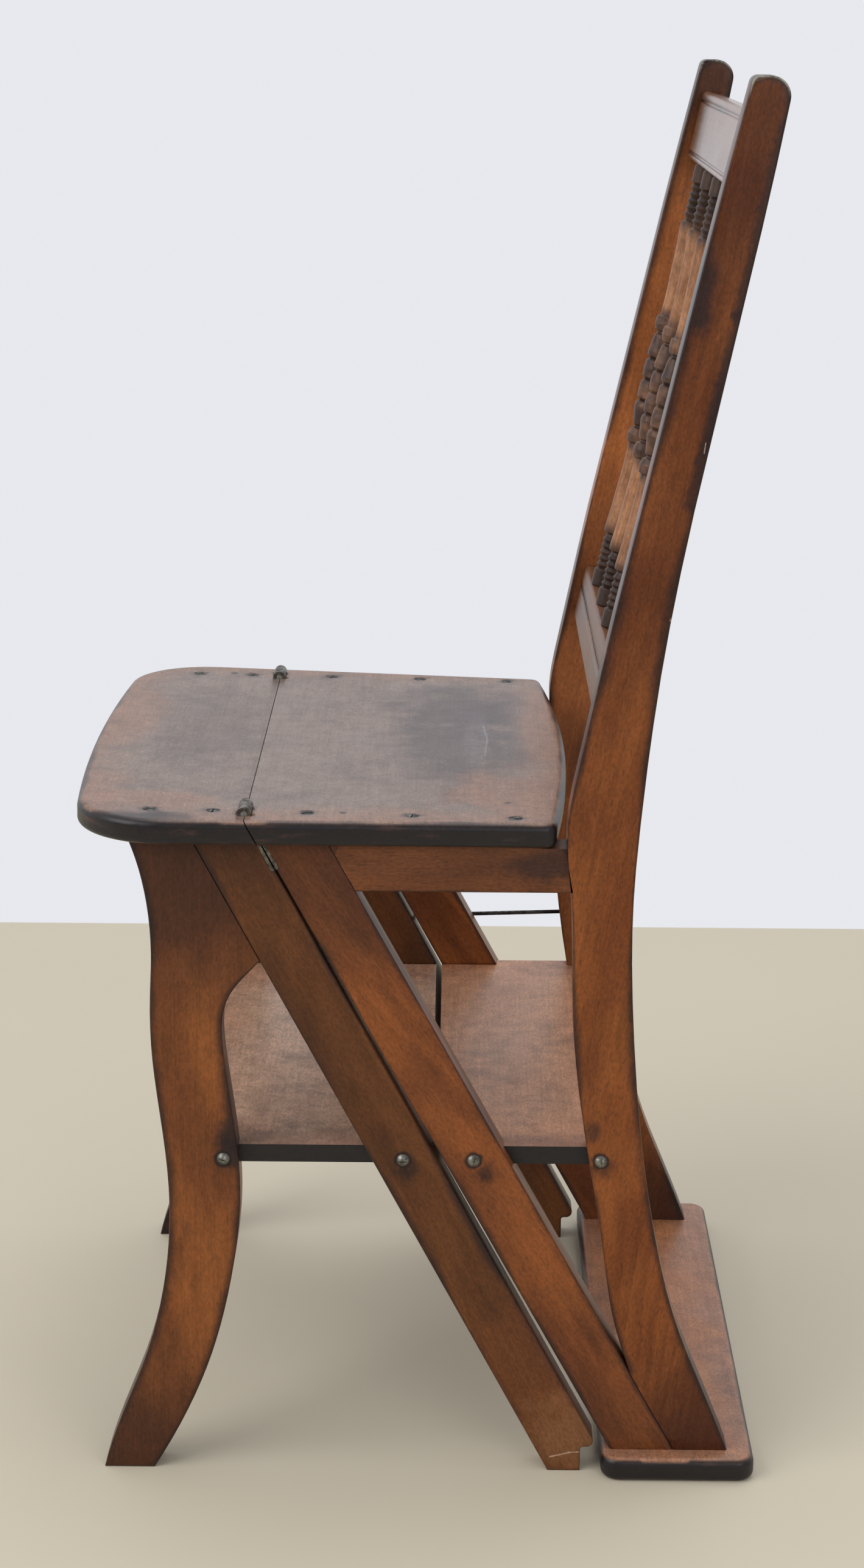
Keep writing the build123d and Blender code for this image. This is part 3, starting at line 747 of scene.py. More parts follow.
@dataclass(frozen=True)
class Tread:
    """A board that is sat and stepped on: worn bare on top, black along its edges and dull brown below.

    Attributes:
        bare: The top's colour where it is worn grey; on the seat and the shelves it is also lightened as
            painted sheen and light.
        warm: The top's colour near its rim, where the stain has stayed.
        dirt: The colour of its dark clouds.
        black: The colour of its edges.
        scuffed: The colour where its edges are rubbed.
        under: The colour of its underside.
        rim_width: How far the warm rim comes in.
        edge_width: How far the black of the edges comes over the top.
        knocked: How dark its knocks are.
        knock_cells: How many knocks might lie along a metre.
        pored: How dark its pores are.
        relief: How strongly its fine relief shows.
        roughness: How dull it is at least.
        shine: How strongly it mirrors.
    """

    bare: Colour
    warm: Colour
    dirt: Colour = (0.078, 0.054, 0.050)
    black: Colour = (0.0080, 0.0055, 0.0070)
    scuffed: Colour = (0.070, 0.030, 0.022)
    under: Colour = (0.085, 0.036, 0.018)
    rim_width: float = 30 * MM
    edge_width: float = 6 * MM
    knocked: float = 0.6
    knock_cells: float = 95.0
    pored: float = 0.3
    relief: float = 0.14
    roughness: float = 0.28
    shine: float = 0.42

    def material(self, name: str, grain: Grain, marks: Marks = Marks()) -> bpy.types.Material:
        """The finish on one board.

        Args:
            name: The material's name.
            grain: How the board's grain lies.
            marks: What has marked it.

        Returns:
            The material.
        """
        material, graph, shader = new_material(name)
        coordinates = graph.add("TexCoord")
        place = coordinates.outputs["Object"]
        facing = graph.add("SeparateXYZ", {0: coordinates.outputs["Normal"]}).outputs["Z"]
        wood = grain.wood(graph, place)
        knock = graph.group(KNOCKS, vector=place, scale=self.knock_cells).outputs["Knock"]
        rim = graph.add("Attribute", attribute_name="rim").outputs["Fac"]
        broad = graph.noise(place, 15.0, 4.0, 0.6)
        colour = self.top(graph, place, wood, rim, broad)
        colour = marks.colour(graph, place, colour, self.black, SEAT_HEAD_RADIUS)
        colour = graph.cover(colour, self.dirt, knock, self.knocked)
        smoky = graph.cloudy(place, 20.0, 2.0)
        edge = graph.math("MULTIPLY_ADD", smoky, 1.4 * self.edge_width, rim)
        edge = graph.ramp(edge, self.edge_width, 0.2 * self.edge_width, 0.0, 0.88)
        colour = graph.mix(edge, colour, self.black)
        side = graph.ramp(facing, 0.86, 0.4)
        colour = graph.mix(side, colour, self.edge(graph, place))
        under = graph.mix(wood.outputs["Clouds"], self.under, scaled(self.under, 0.6))
        colour = graph.mix(graph.ramp(facing, -0.6, -0.9), colour, under)
        mottle = graph.noise(place, 90.0, 5.0, 0.7)
        colour = toned(graph, colour, graph.ramp(mottle, 0.3, 0.7, 0.84, 1.14))
        colour = streaked(graph, colour, wood, speckle=0.2)
        colour = graph.cover(colour, self.black, wood.outputs["Pores"], self.pored)
        dull = graph.math("MULTIPLY_ADD", wood.outputs["Clouds"], 0.12, self.roughness)
        dull = graph.math("MULTIPLY_ADD", broad, 0.08, dull)
        relief = graph.math("MULTIPLY_ADD", knock, -2.2, wood.outputs["Fibre"])
        relief = graph.math("MULTIPLY_ADD", broad, 1.2, relief)
        lay(graph, shader, colour, dull, relief, self.relief, 0.6 * MM)
        shader.inputs["Specular IOR Level"].default_value = self.shine
        return material

    def top(self, graph: Graph, place: Source, wood: bpy.types.Node, rim: Source, broad: Source) -> Source:
        """The colour of the worn top, from bare to warm at its rim, with dark and pale clouds.

        Args:
            graph: The graph of the board's material.
            place: The place on the board.
            wood: The shared grain for that board.
            rim: The place's distance from the open rim.
            broad: Broad clouds over the board.

        Returns:
            The colour.
        """
        cloudy = graph.math("SUBTRACT", broad, 0.5)
        inward = graph.math("MULTIPLY_ADD", cloudy, 2.6, graph.math("DIVIDE", rim, self.rim_width))
        colour = graph.mix(graph.ramp(inward, 0.1, 1.3, 0.75, 0.0), self.bare, self.warm)
        smears = graph.ramp(graph.noise(place, 24.0, 5.0, 0.65), 0.44, 0.78, 0.0, 0.5)
        colour = graph.mix(smears, colour, self.dirt)
        pale = graph.ramp(graph.noise(place, 31.0, 5.0, 0.7), 0.56, 0.8, 0.0, 0.3)
        colour = graph.mix(pale, colour, scaled(self.bare, 1.7))
        return graph.cover(colour, self.dirt, wood.outputs["Rings"], 0.12)

    def edge(self, graph: Graph, place: Source) -> Source:
        """The colour of the edges, black with rubbed patches along them.

        Args:
            graph: The graph of the board's material.
            place: The place on the board.

        Returns:
            The colour.
        """
        patches = graph.ramp(graph.drawn(place, EDGE_CELLS, 4.0, 0.65), 0.52, 0.72, 0.0, 0.55)
        return graph.mix(patches, self.black, self.scuffed)


@dataclass(frozen=True)
class Turning:
    """The turned spindles: pale and rubbed on their tapers, dark and dirty in their blocks and beads, with
    painted shade in their grooves.

    Attributes:
        pale: The colour of the most rubbed wood.
        warm: The colour of the rest of the tapers.
        dark: The colour of the blocks and beads.
        grime_and_shade: The colour of the grime at their ends, laid also into their grooves as painted shade.
        beads_end: Where the middle beads end, as shares of half the length.
        blocks_start: Where the end blocks start, as shares of half the length.
        roughness: How dull they are.
        shine: How strongly they mirror.
    """

    pale: Colour = (0.37, 0.172, 0.081)
    warm: Colour = (0.25, 0.106, 0.045)
    dark: Colour = (0.050, 0.0250, 0.0185)
    grime_and_shade: Colour = (0.0225, 0.01125, 0.008325)
    beads_end: tuple[float, float] = (0.36, 0.30)
    blocks_start: tuple[float, float] = (0.70, 0.76)
    roughness: float = 0.44
    shine: float = 0.32

    def material(self, name: str, middle: Vector, axis: Vector, half: float,
                 seed: float) -> bpy.types.Material:
        """The finish on one spindle.

        Args:
            name: The material's name.
            middle: The spindle's middle.
            axis: The direction it stands in.
            half: Half of its length.
            seed: Sets its grain apart from the others'.

        Returns:
            The material.
        """
        material, graph, shader = new_material(name)
        place = graph.add("TexCoord").outputs["Object"]
        wood = Grain(tuple(axis), (0.0, 1.0, 0.0), tuple(middle), seed).wood(graph, place)
        along = graph.vector("DOT_PRODUCT", graph.vector("SUBTRACT", place, middle), axis)
        share = graph.math("DIVIDE", graph.math("ABSOLUTE", along), half)
        beads, ends = graph.ramp(share, *self.beads_end), graph.ramp(share, *self.blocks_start)
        blocks = graph.math("MAXIMUM", beads, ends)
        cloudy = graph.noise(place, 60.0, 3.0, 0.6)
        colour = graph.mix(graph.ramp(cloudy, 0.35, 0.68), self.warm, self.pale)
        grime = graph.math("MULTIPLY", blocks, graph.ramp(cloudy, 0.35, 0.68, 1.0, 0.60))
        colour = graph.mix(grime, colour, self.dark)
        colour = graph.mix(graph.ramp(share, 0.66, 0.74, 0.0, 0.75), colour, self.grime_and_shade)
        # Painted shade: ambient occlusion darkens the grooves between the beads and blocks, in the grime
        # colour.
        hollow_shade = graph.add("AmbientOcclusion", {"Distance": 3.5 * MM}, samples=8, only_local=True)
        hollow_shade = graph.ramp(hollow_shade.outputs["AO"], 0.9, 0.45, 0.0, 0.85)
        colour = graph.mix(hollow_shade, colour, self.grime_and_shade)
        colour = streaked(graph, colour, wood, 0.74, 1.18)
        dull = graph.math("MULTIPLY_ADD", cloudy, 0.2, self.roughness - 0.1)
        lay(graph, shader, colour, dull, wood.outputs["Fibre"], 0.2, 0.4 * MM)
        shader.inputs["Specular IOR Level"].default_value = self.shine
        return material


@dataclass(frozen=True)
class Metal:
    """Dull old metal with darker tarnish in patches and brighter rubbed places.

    Attributes:
        bright: The colour where it is rubbed.
        tarnish: The colour of the tarnish.
        roughness: How dull the rubbed metal is.
        cover: How much of it is tarnished.
    """

    bright: Colour
    tarnish: Colour
    roughness: float
    cover: float = 0.5

    def material(self, name: str) -> bpy.types.Material:
        """The finish, the same on every piece of that metal.

        Args:
            name: The material's name.

        Returns:
            The material.
        """
        material, graph, shader = new_material(name)
        place = graph.add("TexCoord").outputs["Object"]
        patches = graph.noise(place, 260.0, 4.0, 0.65)
        scratches = graph.drawn(place, METAL_CELLS, 2.0)
        covered = graph.ramp(patches, 0.62 - 0.4 * self.cover, 0.82 - 0.4 * self.cover)
        colour = graph.mix(covered, self.bright, self.tarnish)
        colour = graph.mix(graph.ramp(scratches, 0.55, 0.75, 0.0, 0.3), colour, self.bright)
        dull = graph.math("MULTIPLY_ADD", covered, 0.25, self.roughness)
        relief = graph.math("ADD", patches, scratches)
        lay(graph, shader, colour, dull, relief, 0.25, 0.15 * MM)
        graph.feed(shader.inputs["Metallic"], graph.ramp(patches, 0.75, 0.45, 0.7, 1.0))
        return material


# Meshes

ARRIS_TURN = math.radians(40)
SMOOTH_TURN = math.radians(32)
STRAIGHT_TURN = math.radians(0.4)
FLAT_ON = 0.96
WELD = 0.002 * MM
CUT_REACH = 0.001 * MM
MEASURE_STEP = 2 * MM
MEASURE_END = 100 * MM


class Side(Enum):
    """The chair's two sides, with the sign that y has there."""

    LEFT = -1
    RIGHT = 1


def placed(name: str, data: bpy.types.ID) -> bpy.types.Object:
    """Puts a mesh, a lamp's data or a camera's data into the scene.

    Args:
        name: The new object's name.
        data: What it shows.

    Returns:
        The object.
    """
    made = bpy.data.objects.new(name, data)
    bpy.context.scene.collection.objects.link(made)
    return made


def dress(piece: bpy.types.Object, material: bpy.types.Material) -> None:
    """Gives a piece one material all over."""
    piece.data.materials.clear()
    piece.data.materials.append(material)


def node_object(node: str) -> bpy.types.Object:
    """The frame's own object for a node."""
    return frame["nodes"][node]


def body_of(node: str) -> str:
    """The name of the body that a node rides on."""
    return node_object(node)["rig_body"]


class Neighbours:
    """Finds out whether a place on one node touches another node."""

    def __init__(self, reach: float = 0.45 * MM) -> None:
        """Makes a search tree for each of the frame's nodes.

        Args:
            reach: How near counts as touching.
        """
        self.reach = reach
        self.trees: dict[str, BVHTree] = {}
        self.boxes: dict[str, tuple[Vector, Vector]] = {}
        for name, piece in frame["nodes"].items():
            mesh = piece.data
            places = [vertex.co.copy() for vertex in mesh.vertices]
            self.trees[name] = BVHTree.FromPolygons(places, [tuple(face.vertices) for face in mesh.polygons])
            self.boxes[name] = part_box(name)

    def touched(self, node: str, place: Vector) -> bool:
        """Whether another node lies within reach of a place on this one.

        Args:
            node: The node that the place is on.
            place: The place.

        Returns:
            True where another node is near.
        """
        for name, tree in self.trees.items():
            low, high = self.boxes[name]
            near = all(low[i] - self.reach <= place[i] <= high[i] + self.reach for i in range(3))
            if name != node and near and tree.find_nearest(place, self.reach)[0] is not None:
                return True
        return False


def corner_numbers(part: bmesh.types.BMEdge | bmesh.types.BMFace) -> list[int]:
    """The numbers of the corners of an edge or a face, lowest first."""
    return sorted(vertex.index for vertex in part.verts)


def settle(shape: bmesh.types.BMesh) -> None:
    """Puts a shape's points, edges and faces in an order that is the same in each run.

    Args:
        shape: The shape.
    """
    orders = ((shape.verts, lambda vertex: tuple(vertex.co)), (shape.edges, corner_numbers),
              (shape.faces, corner_numbers))
    for parts, order in orders:
        for index, part in enumerate(sorted(parts, key=order)):
            part.index = index
        parts.sort()


@dataclass
class SoftBoard:
    """A copy of a board of the frame with its open arrises worn round and its edge distances measured.

    Attributes:
        node: The node that it stands for.
        arris: How far the open arrises are worn.
        broad: The direction of the board's broad faces, whose arrises are worn.
        cell: The longest edge of the mesh on its faces.
        small_loop: Rims shorter than this belong to holes, and stay sharp.
    """

    node: str
    arris: float
    broad: Vector
    cell: float = 7 * MM
    small_loop: float = 60 * MM

    def outline(self, shape: bmesh.types.BMesh) -> list[bmesh.types.BMEdge]:
        """The arrises of the broad faces, without those of small holes.

        Args:
            shape: The board.

        Returns:
            The arrises.
        """
        found = []
        for edge in shape.edges:
            if len(edge.link_faces) != 2 or edge.calc_face_angle(0.0) < ARRIS_TURN:
                continue
            flat = [abs(face.normal.dot(self.broad)) > FLAT_ON for face in edge.link_faces]
            if flat[0] != flat[1]:
                found.append(edge)
        marked, kept = set(found), set()
        while marked:
            chain, waiting = [], [marked.pop()]
            while waiting:
                edge = waiting.pop()
                chain.append(edge)
                for vertex in edge.verts:
                    for other in vertex.link_edges:
                        if other in marked:
                            marked.remove(other)
                            waiting.append(other)
            if sum(edge.calc_length() for edge in chain) > self.small_loop:
                kept.update(chain)
        return [edge for edge in found if edge in kept]

    def build(self, neighbours: Neighbours) -> bpy.types.Object:
        """Makes the piece.

        Args:
            neighbours: Tells open arrises from those that lie against another piece.

        Returns:
            The piece, on its body and in place of its node.
        """
        shape = bmesh.new()
        shape.from_mesh(node_object(self.node).data)
        bmesh.ops.remove_doubles(shape, verts=shape.verts, dist=WELD)
        bmesh.ops.dissolve_limit(shape, angle_limit=STRAIGHT_TURN, verts=shape.verts, edges=shape.edges)
        shape.normal_update()
        open_edges, closed_edges = [], []
        for edge in self.outline(shape):
            middle = (edge.verts[0].co + edge.verts[1].co) / 2
            (closed_edges if neighbours.touched(self.node, middle) else open_edges).append(edge)
        open_places = self.spread(open_edges)
        closed_places = self.spread(closed_edges)
        if self.arris and open_edges:
            bmesh.ops.bevel(shape, geom=open_edges, offset=self.arris, segments=3, profile=0.5,
                            affect="EDGES", clamp_overlap=False, offset_type="OFFSET")
        self.grid(shape)
        settle(shape)
        mesh = bpy.data.meshes.new("worn_" + self.node)
        shape.to_mesh(mesh)
        shape.free()
        mesh.shade_smooth()
        mesh.set_sharp_from_angle(angle=SMOOTH_TURN)
        self.measure(mesh, "rim", open_places)
        self.measure(mesh, "seam", closed_places)
        piece = placed("worn_" + self.node, mesh)
        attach(piece, body_of(self.node))
        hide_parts(self.node)
        return piece

    def grid(self, shape: bmesh.types.BMesh) -> None:
        """Cuts the broad faces into even cells, so that measured distances can vary over them.

        Args:
            shape: The board.
        """
        low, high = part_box(self.node)
        for axis in (BACKWARD, TO_RIGHT, UP):
            if abs(axis.dot(self.broad)) > 0.5:
                continue
            start, end = low.dot(axis), high.dot(axis)
            steps = math.floor((end - start) / self.cell)
            for step in range(1, steps):
                place = axis * (start + (end - start) * step / steps)
                everything = [*shape.verts, *shape.edges, *shape.faces]
                bmesh.ops.bisect_plane(shape, geom=everything, plane_co=place, plane_no=axis, dist=CUT_REACH)

    def spread(self, edges: Iterable[bmesh.types.BMEdge]) -> list[Vector]:
        """Places along edges, close enough together to measure from.

        Args:
            edges: The edges.

        Returns:
            The places.
        """
        places = []
        for edge in edges:
            start, end = (vertex.co.copy() for vertex in edge.verts)
            steps = max(1, math.ceil((end - start).length / MEASURE_STEP))
            places += [start.lerp(end, step / steps) for step in range(steps + 1)]
        return places

    def measure(self, mesh: bpy.types.Mesh, name: str, places: list[Vector]) -> None:
        """Stores each point's distance from the nearest of some places, as far as is measured.

        Args:
            mesh: The mesh that keeps it.
            name: The name that it is kept under.
            places: The places, or none where there is nothing near.
        """
        values = [MEASURE_END] * len(mesh.vertices)
        if places:
            tree = KDTree(len(places))
            for index, place in enumerate(places):
                tree.insert(place, index)
            tree.balance()
            values = [min(MEASURE_END, tree.find(vertex.co)[2]) for vertex in mesh.vertices]
        stored = mesh.attributes.get(name) or mesh.attributes.new(name, "FLOAT", "POINT")
        stored.data.foreach_set("value", values)


# Sub-assemblies

SCREW_APART = 9 * MM
HEAD_DEPTH = 1.5 * MM
MARK_DEPTH = 0.05


def screw_heads(node: str, outward: Vector) -> list[Vector]:
    """Where the heads of a node's screws lie, from the points that stand furthest out on each.

    Args:
        node: The node that holds the screws.
        outward: The direction that the heads look in, on the left side; y is mirrored for the right.

    Returns:
        The middle of each head, in no set order.
    """
    groups: list[list[Vector]] = []
    for vertex in node_object(node).data.vertices:
        for group in groups:
            apart = group[0] - vertex.co
            if (apart - apart.dot(outward) * outward).length < SCREW_APART and group[0].y * vertex.co.y > 0:
                group.append(vertex.co.copy())
                break
        else:
            groups.append([vertex.co.copy()])
    heads = []
    for group in groups:
        side = -1 if group[0].y > 0 else 1
        look = Vector((outward.x, outward.y * side, outward.z))
        top = max(place.dot(look) for place in group)
        near = [place for place in group if top - place.dot(look) < HEAD_DEPTH]
        heads.append(sum(near, Vector()) / len(near))
    return heads


def grain_through(node: str, along: Vector, across: Vector, heart: Vector, seed: float) -> Grain:
    """A board's grain, with the tree's heart at a distance from the board's middle."""
    low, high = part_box(node)
    return Grain(tuple(along), tuple(across), tuple((low + high) / 2 + heart), seed)


@dataclass
class SideFrames:
    """The sawn legs, strings, rails and stiles of both sides.

    Attributes:
        arris: How far their arrises are worn.
        heart_depth: How far the tree's heart lies from the middle of a board, towards the chair's middle.
        leg: The finish of the front legs.
        string: The finish of the front strings, from the seat's split to the floor.
        rear_string: The finish of the rear strings.
        rail: The finish of the rails under the seat.
        stile: The finish of the left back stile.
        far_stile: The finish of the right back stile, whose varnish is thinner.
        dark: The colour of smoky patches, and of the painted shadow in a thin band along the seat rail's top.
        pale: The colour of cracks.
        bruise: The colour of a bruised arris.
        chip: The colour of a fresh chip.
        dusty: The colour of the rubbed foot of the left front string.
        smoke_from: Where the smoky stain of a screw lies from its head, by the member's kind.
    """

    arris: float = 1.3 * MM
    heart_depth: float = 34 * MM
    leg: Varnish = Varnish(light=(0.240, 0.077, 0.020), body=(0.152, 0.047, 0.014), reach=3.8 * MM,
                           figure=0.2)
    string: Varnish = Varnish(light=(0.124, 0.0425, 0.0128), body=(0.077, 0.0275, 0.0102), reach=4 * MM)
    rear_string: Varnish = Varnish(light=(0.236, 0.071, 0.0190), body=(0.132, 0.039, 0.0127), reach=4 * MM)
    rail: Varnish = Varnish(light=(0.172, 0.058, 0.020), body=(0.120, 0.040, 0.0155), reach=4 * MM)
    stile: Varnish = Varnish(body=(0.152, 0.0412, 0.0102), dark=(0.038, 0.0105, 0.0055), reach=5.5 * MM,
                             worn_above=0.886)
    far_stile: Varnish = Varnish(light=(0.340, 0.107, 0.029), body=(0.225, 0.069, 0.019), reach=4 * MM,
                                 worn_above=0.890)
    dark: Colour = (0.026, 0.014, 0.013)
    pale: Colour = (0.42, 0.27, 0.19)
    bruise: Colour = (0.20, 0.22, 0.26)
    chip: Colour = (0.45, 0.38, 0.33)
    dusty: Colour = (0.200, 0.085, 0.036)
    smoke_from: dict[str, Place] = field(default_factory=lambda: {
        "front_leg": (6 * MM, 0.0, 9 * MM),
        "front_diagonal": (2 * MM, 0.0, -7 * MM),
        "rear_diagonal": (8 * MM, 0.0, -9 * MM),
        "seat_rail": (0.0, 0.0, 0.0),
        "back_stile": (0.5 * MM, 0.0, -3 * MM),
    })

    def marks_of(self, kind: str, side: Side, heads: tuple[Vector, ...]) -> Marks:
        """What has marked a member.

        Args:
            kind: The member's kind, as in its node's name.
            side: The side that it stands on.
            heads: Where the heads of the screws through it are.

        Returns:
            The marks.
        """
        face = side.value * HALF_WIDTH
        shades, smudges, scratches = (), (), ()
        if kind == "front_leg":
            # Painted shadow: the first shade darkens the leg's top under the seat's overhang; the other two
            # darken it towards its foot.
            shades = (Shade((-0.148, face, 0.285), (-0.148, face, 0.40), 0.88),
                      Shade((-0.148, face, 0.125), (-0.160, face, 0.035), 0.45),
                      Shade((-0.152, face, 0.072), (-0.166, face, 0.022), 0.70))
            smudges = (Smudge((-0.1170, face, 0.230), (0.013, MARK_DEPTH, 0.024), 0.9, self.dark),)
        elif kind == "front_diagonal":
            # Painted shadow: the string darkens towards its top under the seat's overhang.
            shades = (Shade((0.0, face, 0.36), (0.0, face, 0.45), 0.45),)
            if side is Side.LEFT:
                rubbed = self.rear_string.light
                smudges = (Smudge((0.075, face, 0.065), (0.06, MARK_DEPTH, 0.08), 0.24, rubbed),
                           Smudge((0.103, face, 0.022), (0.035, MARK_DEPTH, 0.036), 0.7, self.dusty))
                scratches = (Scratch((0.089, face, 0.0102), (0.1018, face, 0.0134), 0.8 * MM, 0.8, self.pale),
                             Scratch((0.1018, face, 0.0134), (0.1119, face, 0.014), 0.7 * MM, 0.8, self.pale))
        elif kind == "rear_diagonal":
            # Painted shadow: the first shade darkens the string's top under the seat's overhang; the second
            # darkens it towards its foot.
            shades = (Shade((0.0, face, 0.32), (0.0, face, 0.41), 0.66),
                      Shade((0.09, face, 0.09), (0.13, face, 0.03), 0.4))
        elif kind == "back_stile":
            shades = (Shade((0.145, face, 0.10), (0.185, face, 0.025), 0.85),)
            if side is Side.RIGHT:
                shades += (Shade((0.19, face, 0.815), (0.21, face, 0.875), 0.8),
                           Shade((0.17, face, 0.730), (0.195, face, 0.835), 0.32),
                           Shade((0.142, face, 0.64), (0.120, face, 0.53), 0.36))
            else:
                # Painted shade: the left stile darkens upwards, where less light falls on it.
                shades += (Shade((0.15, face, 0.40), (0.18, face, 0.60), 0.34),
                           Shade((0.18, face, 0.70), (0.20, face, 0.86), 0.46))
                smudges = (Smudge((0.1665, face, 0.777), (0.012, MARK_DEPTH, 0.032), 0.92, self.dark),
                           Smudge((0.1300, face, 0.222), (0.030, MARK_DEPTH, 0.030), 0.45, self.stile.light),
                           Smudge((0.1127, face, 0.239), (0.007, MARK_DEPTH, 0.010), 0.60, self.dark))
                bruised = ((0.1652, face, 0.794), (0.1618, face, 0.776))
                chipped = ((0.1722, face, 0.6845), (0.1714, face, 0.6782))
                flecked = ((0.1542, face, 0.5762), (0.1538, face, 0.5750))
                smoked = ((0.2135, face, 0.870), (0.1905, face, 0.760))
                smoked_on = ((0.1905, face, 0.760), (0.1640, face, 0.646))
                scratches = (Scratch(*smoked, 7 * MM, 0.75, self.dark),
                             Scratch(*smoked_on, 6 * MM, 0.7, self.dark),
                             Scratch(*bruised, 2.4 * MM, 0.8, self.bruise),
                             Scratch(*chipped, 0.5 * MM, 0.6, self.chip),
                             Scratch(*flecked, 0.7 * MM, 0.7, self.pale))
        elif kind == "seat_rail":
            # Painted shadow: the rail darkens towards its top and in a thin band along it, under the seat's
            # overhang; the smudge at its rear end is a dark smear.
            shades = (Shade((0.0, face, 0.418), (0.0, face, 0.436), 0.26),)
            smudges = (Smudge((0.088, face, 0.4205), (0.045, MARK_DEPTH, 0.012), 0.7, self.dark),
                       Smudge((0.010, face, 0.4170), (0.090, MARK_DEPTH, 0.011), 0.25, self.dark))
        return Marks(shades, smudges, scratches, heads, self.smoke_from[kind])

    def grain_of(self, node: str, seed: float) -> Grain:
        """The grain of a member, along its own line and across its broad face.

        Args:
            node: The member's node.
            seed: Sets its streaks apart from other members'.

        Returns:
            The grain.
        """
        low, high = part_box(node)
        if "seat_rail" in node:
            along = BACKWARD
        elif "diagonal" in node:
            along = Vector((HINGE.x - high.x, 0.0, HINGE.z - low.z)).normalized()
        elif "stile" in node:
            along = Vector((math.sin(STILE_GRAIN_LEAN), 0.0, math.cos(STILE_GRAIN_LEAN)))
        else:
            along = UP
        across = Vector((along.z, 0.0, -along.x))
        heart = Vector((0.0, -math.copysign(self.heart_depth, low.y), 0.0))
        return grain_through(node, along, across, heart, seed)

    def build(self, neighbours: Neighbours) -> None:
        """Builds and dresses every member.

        Args:
            neighbours: Tells open arrises from those that lie against another piece.
        """
        heads = screw_heads("front_side_screws", -TO_RIGHT) + screw_heads("rear_side_screws", -TO_RIGHT)
        finishes = {"front_leg": self.leg, "front_diagonal": self.string, "rear_diagonal": self.rear_string,
                    "seat_rail": self.rail, "back_stile": self.stile}
        for side in Side:
            for place, (kind, finish) in enumerate(finishes.items()):
                node = f"{side.name.lower()}_{kind}"
                piece = SoftBoard(node, self.arris, TO_RIGHT).build(neighbours)
                own = tuple(head for head in heads if head.y * side.value > 0 and self.crosses(piece, head))
                grain = self.grain_of(node, 0.9 * place + 3.1 * side.value)
                if kind == "back_stile" and side is Side.RIGHT:
                    finish = self.far_stile
                dress(piece, finish.material(node + "_varnish", grain, self.marks_of(kind, side, own)))

    def crosses(self, piece: bpy.types.Object, head: Vector) -> bool:
        """Whether a screw's head lies on a member's outer face."""
        return (piece.closest_point_on_mesh(head)[1].xz - head.xz).length < HEAD_REACH


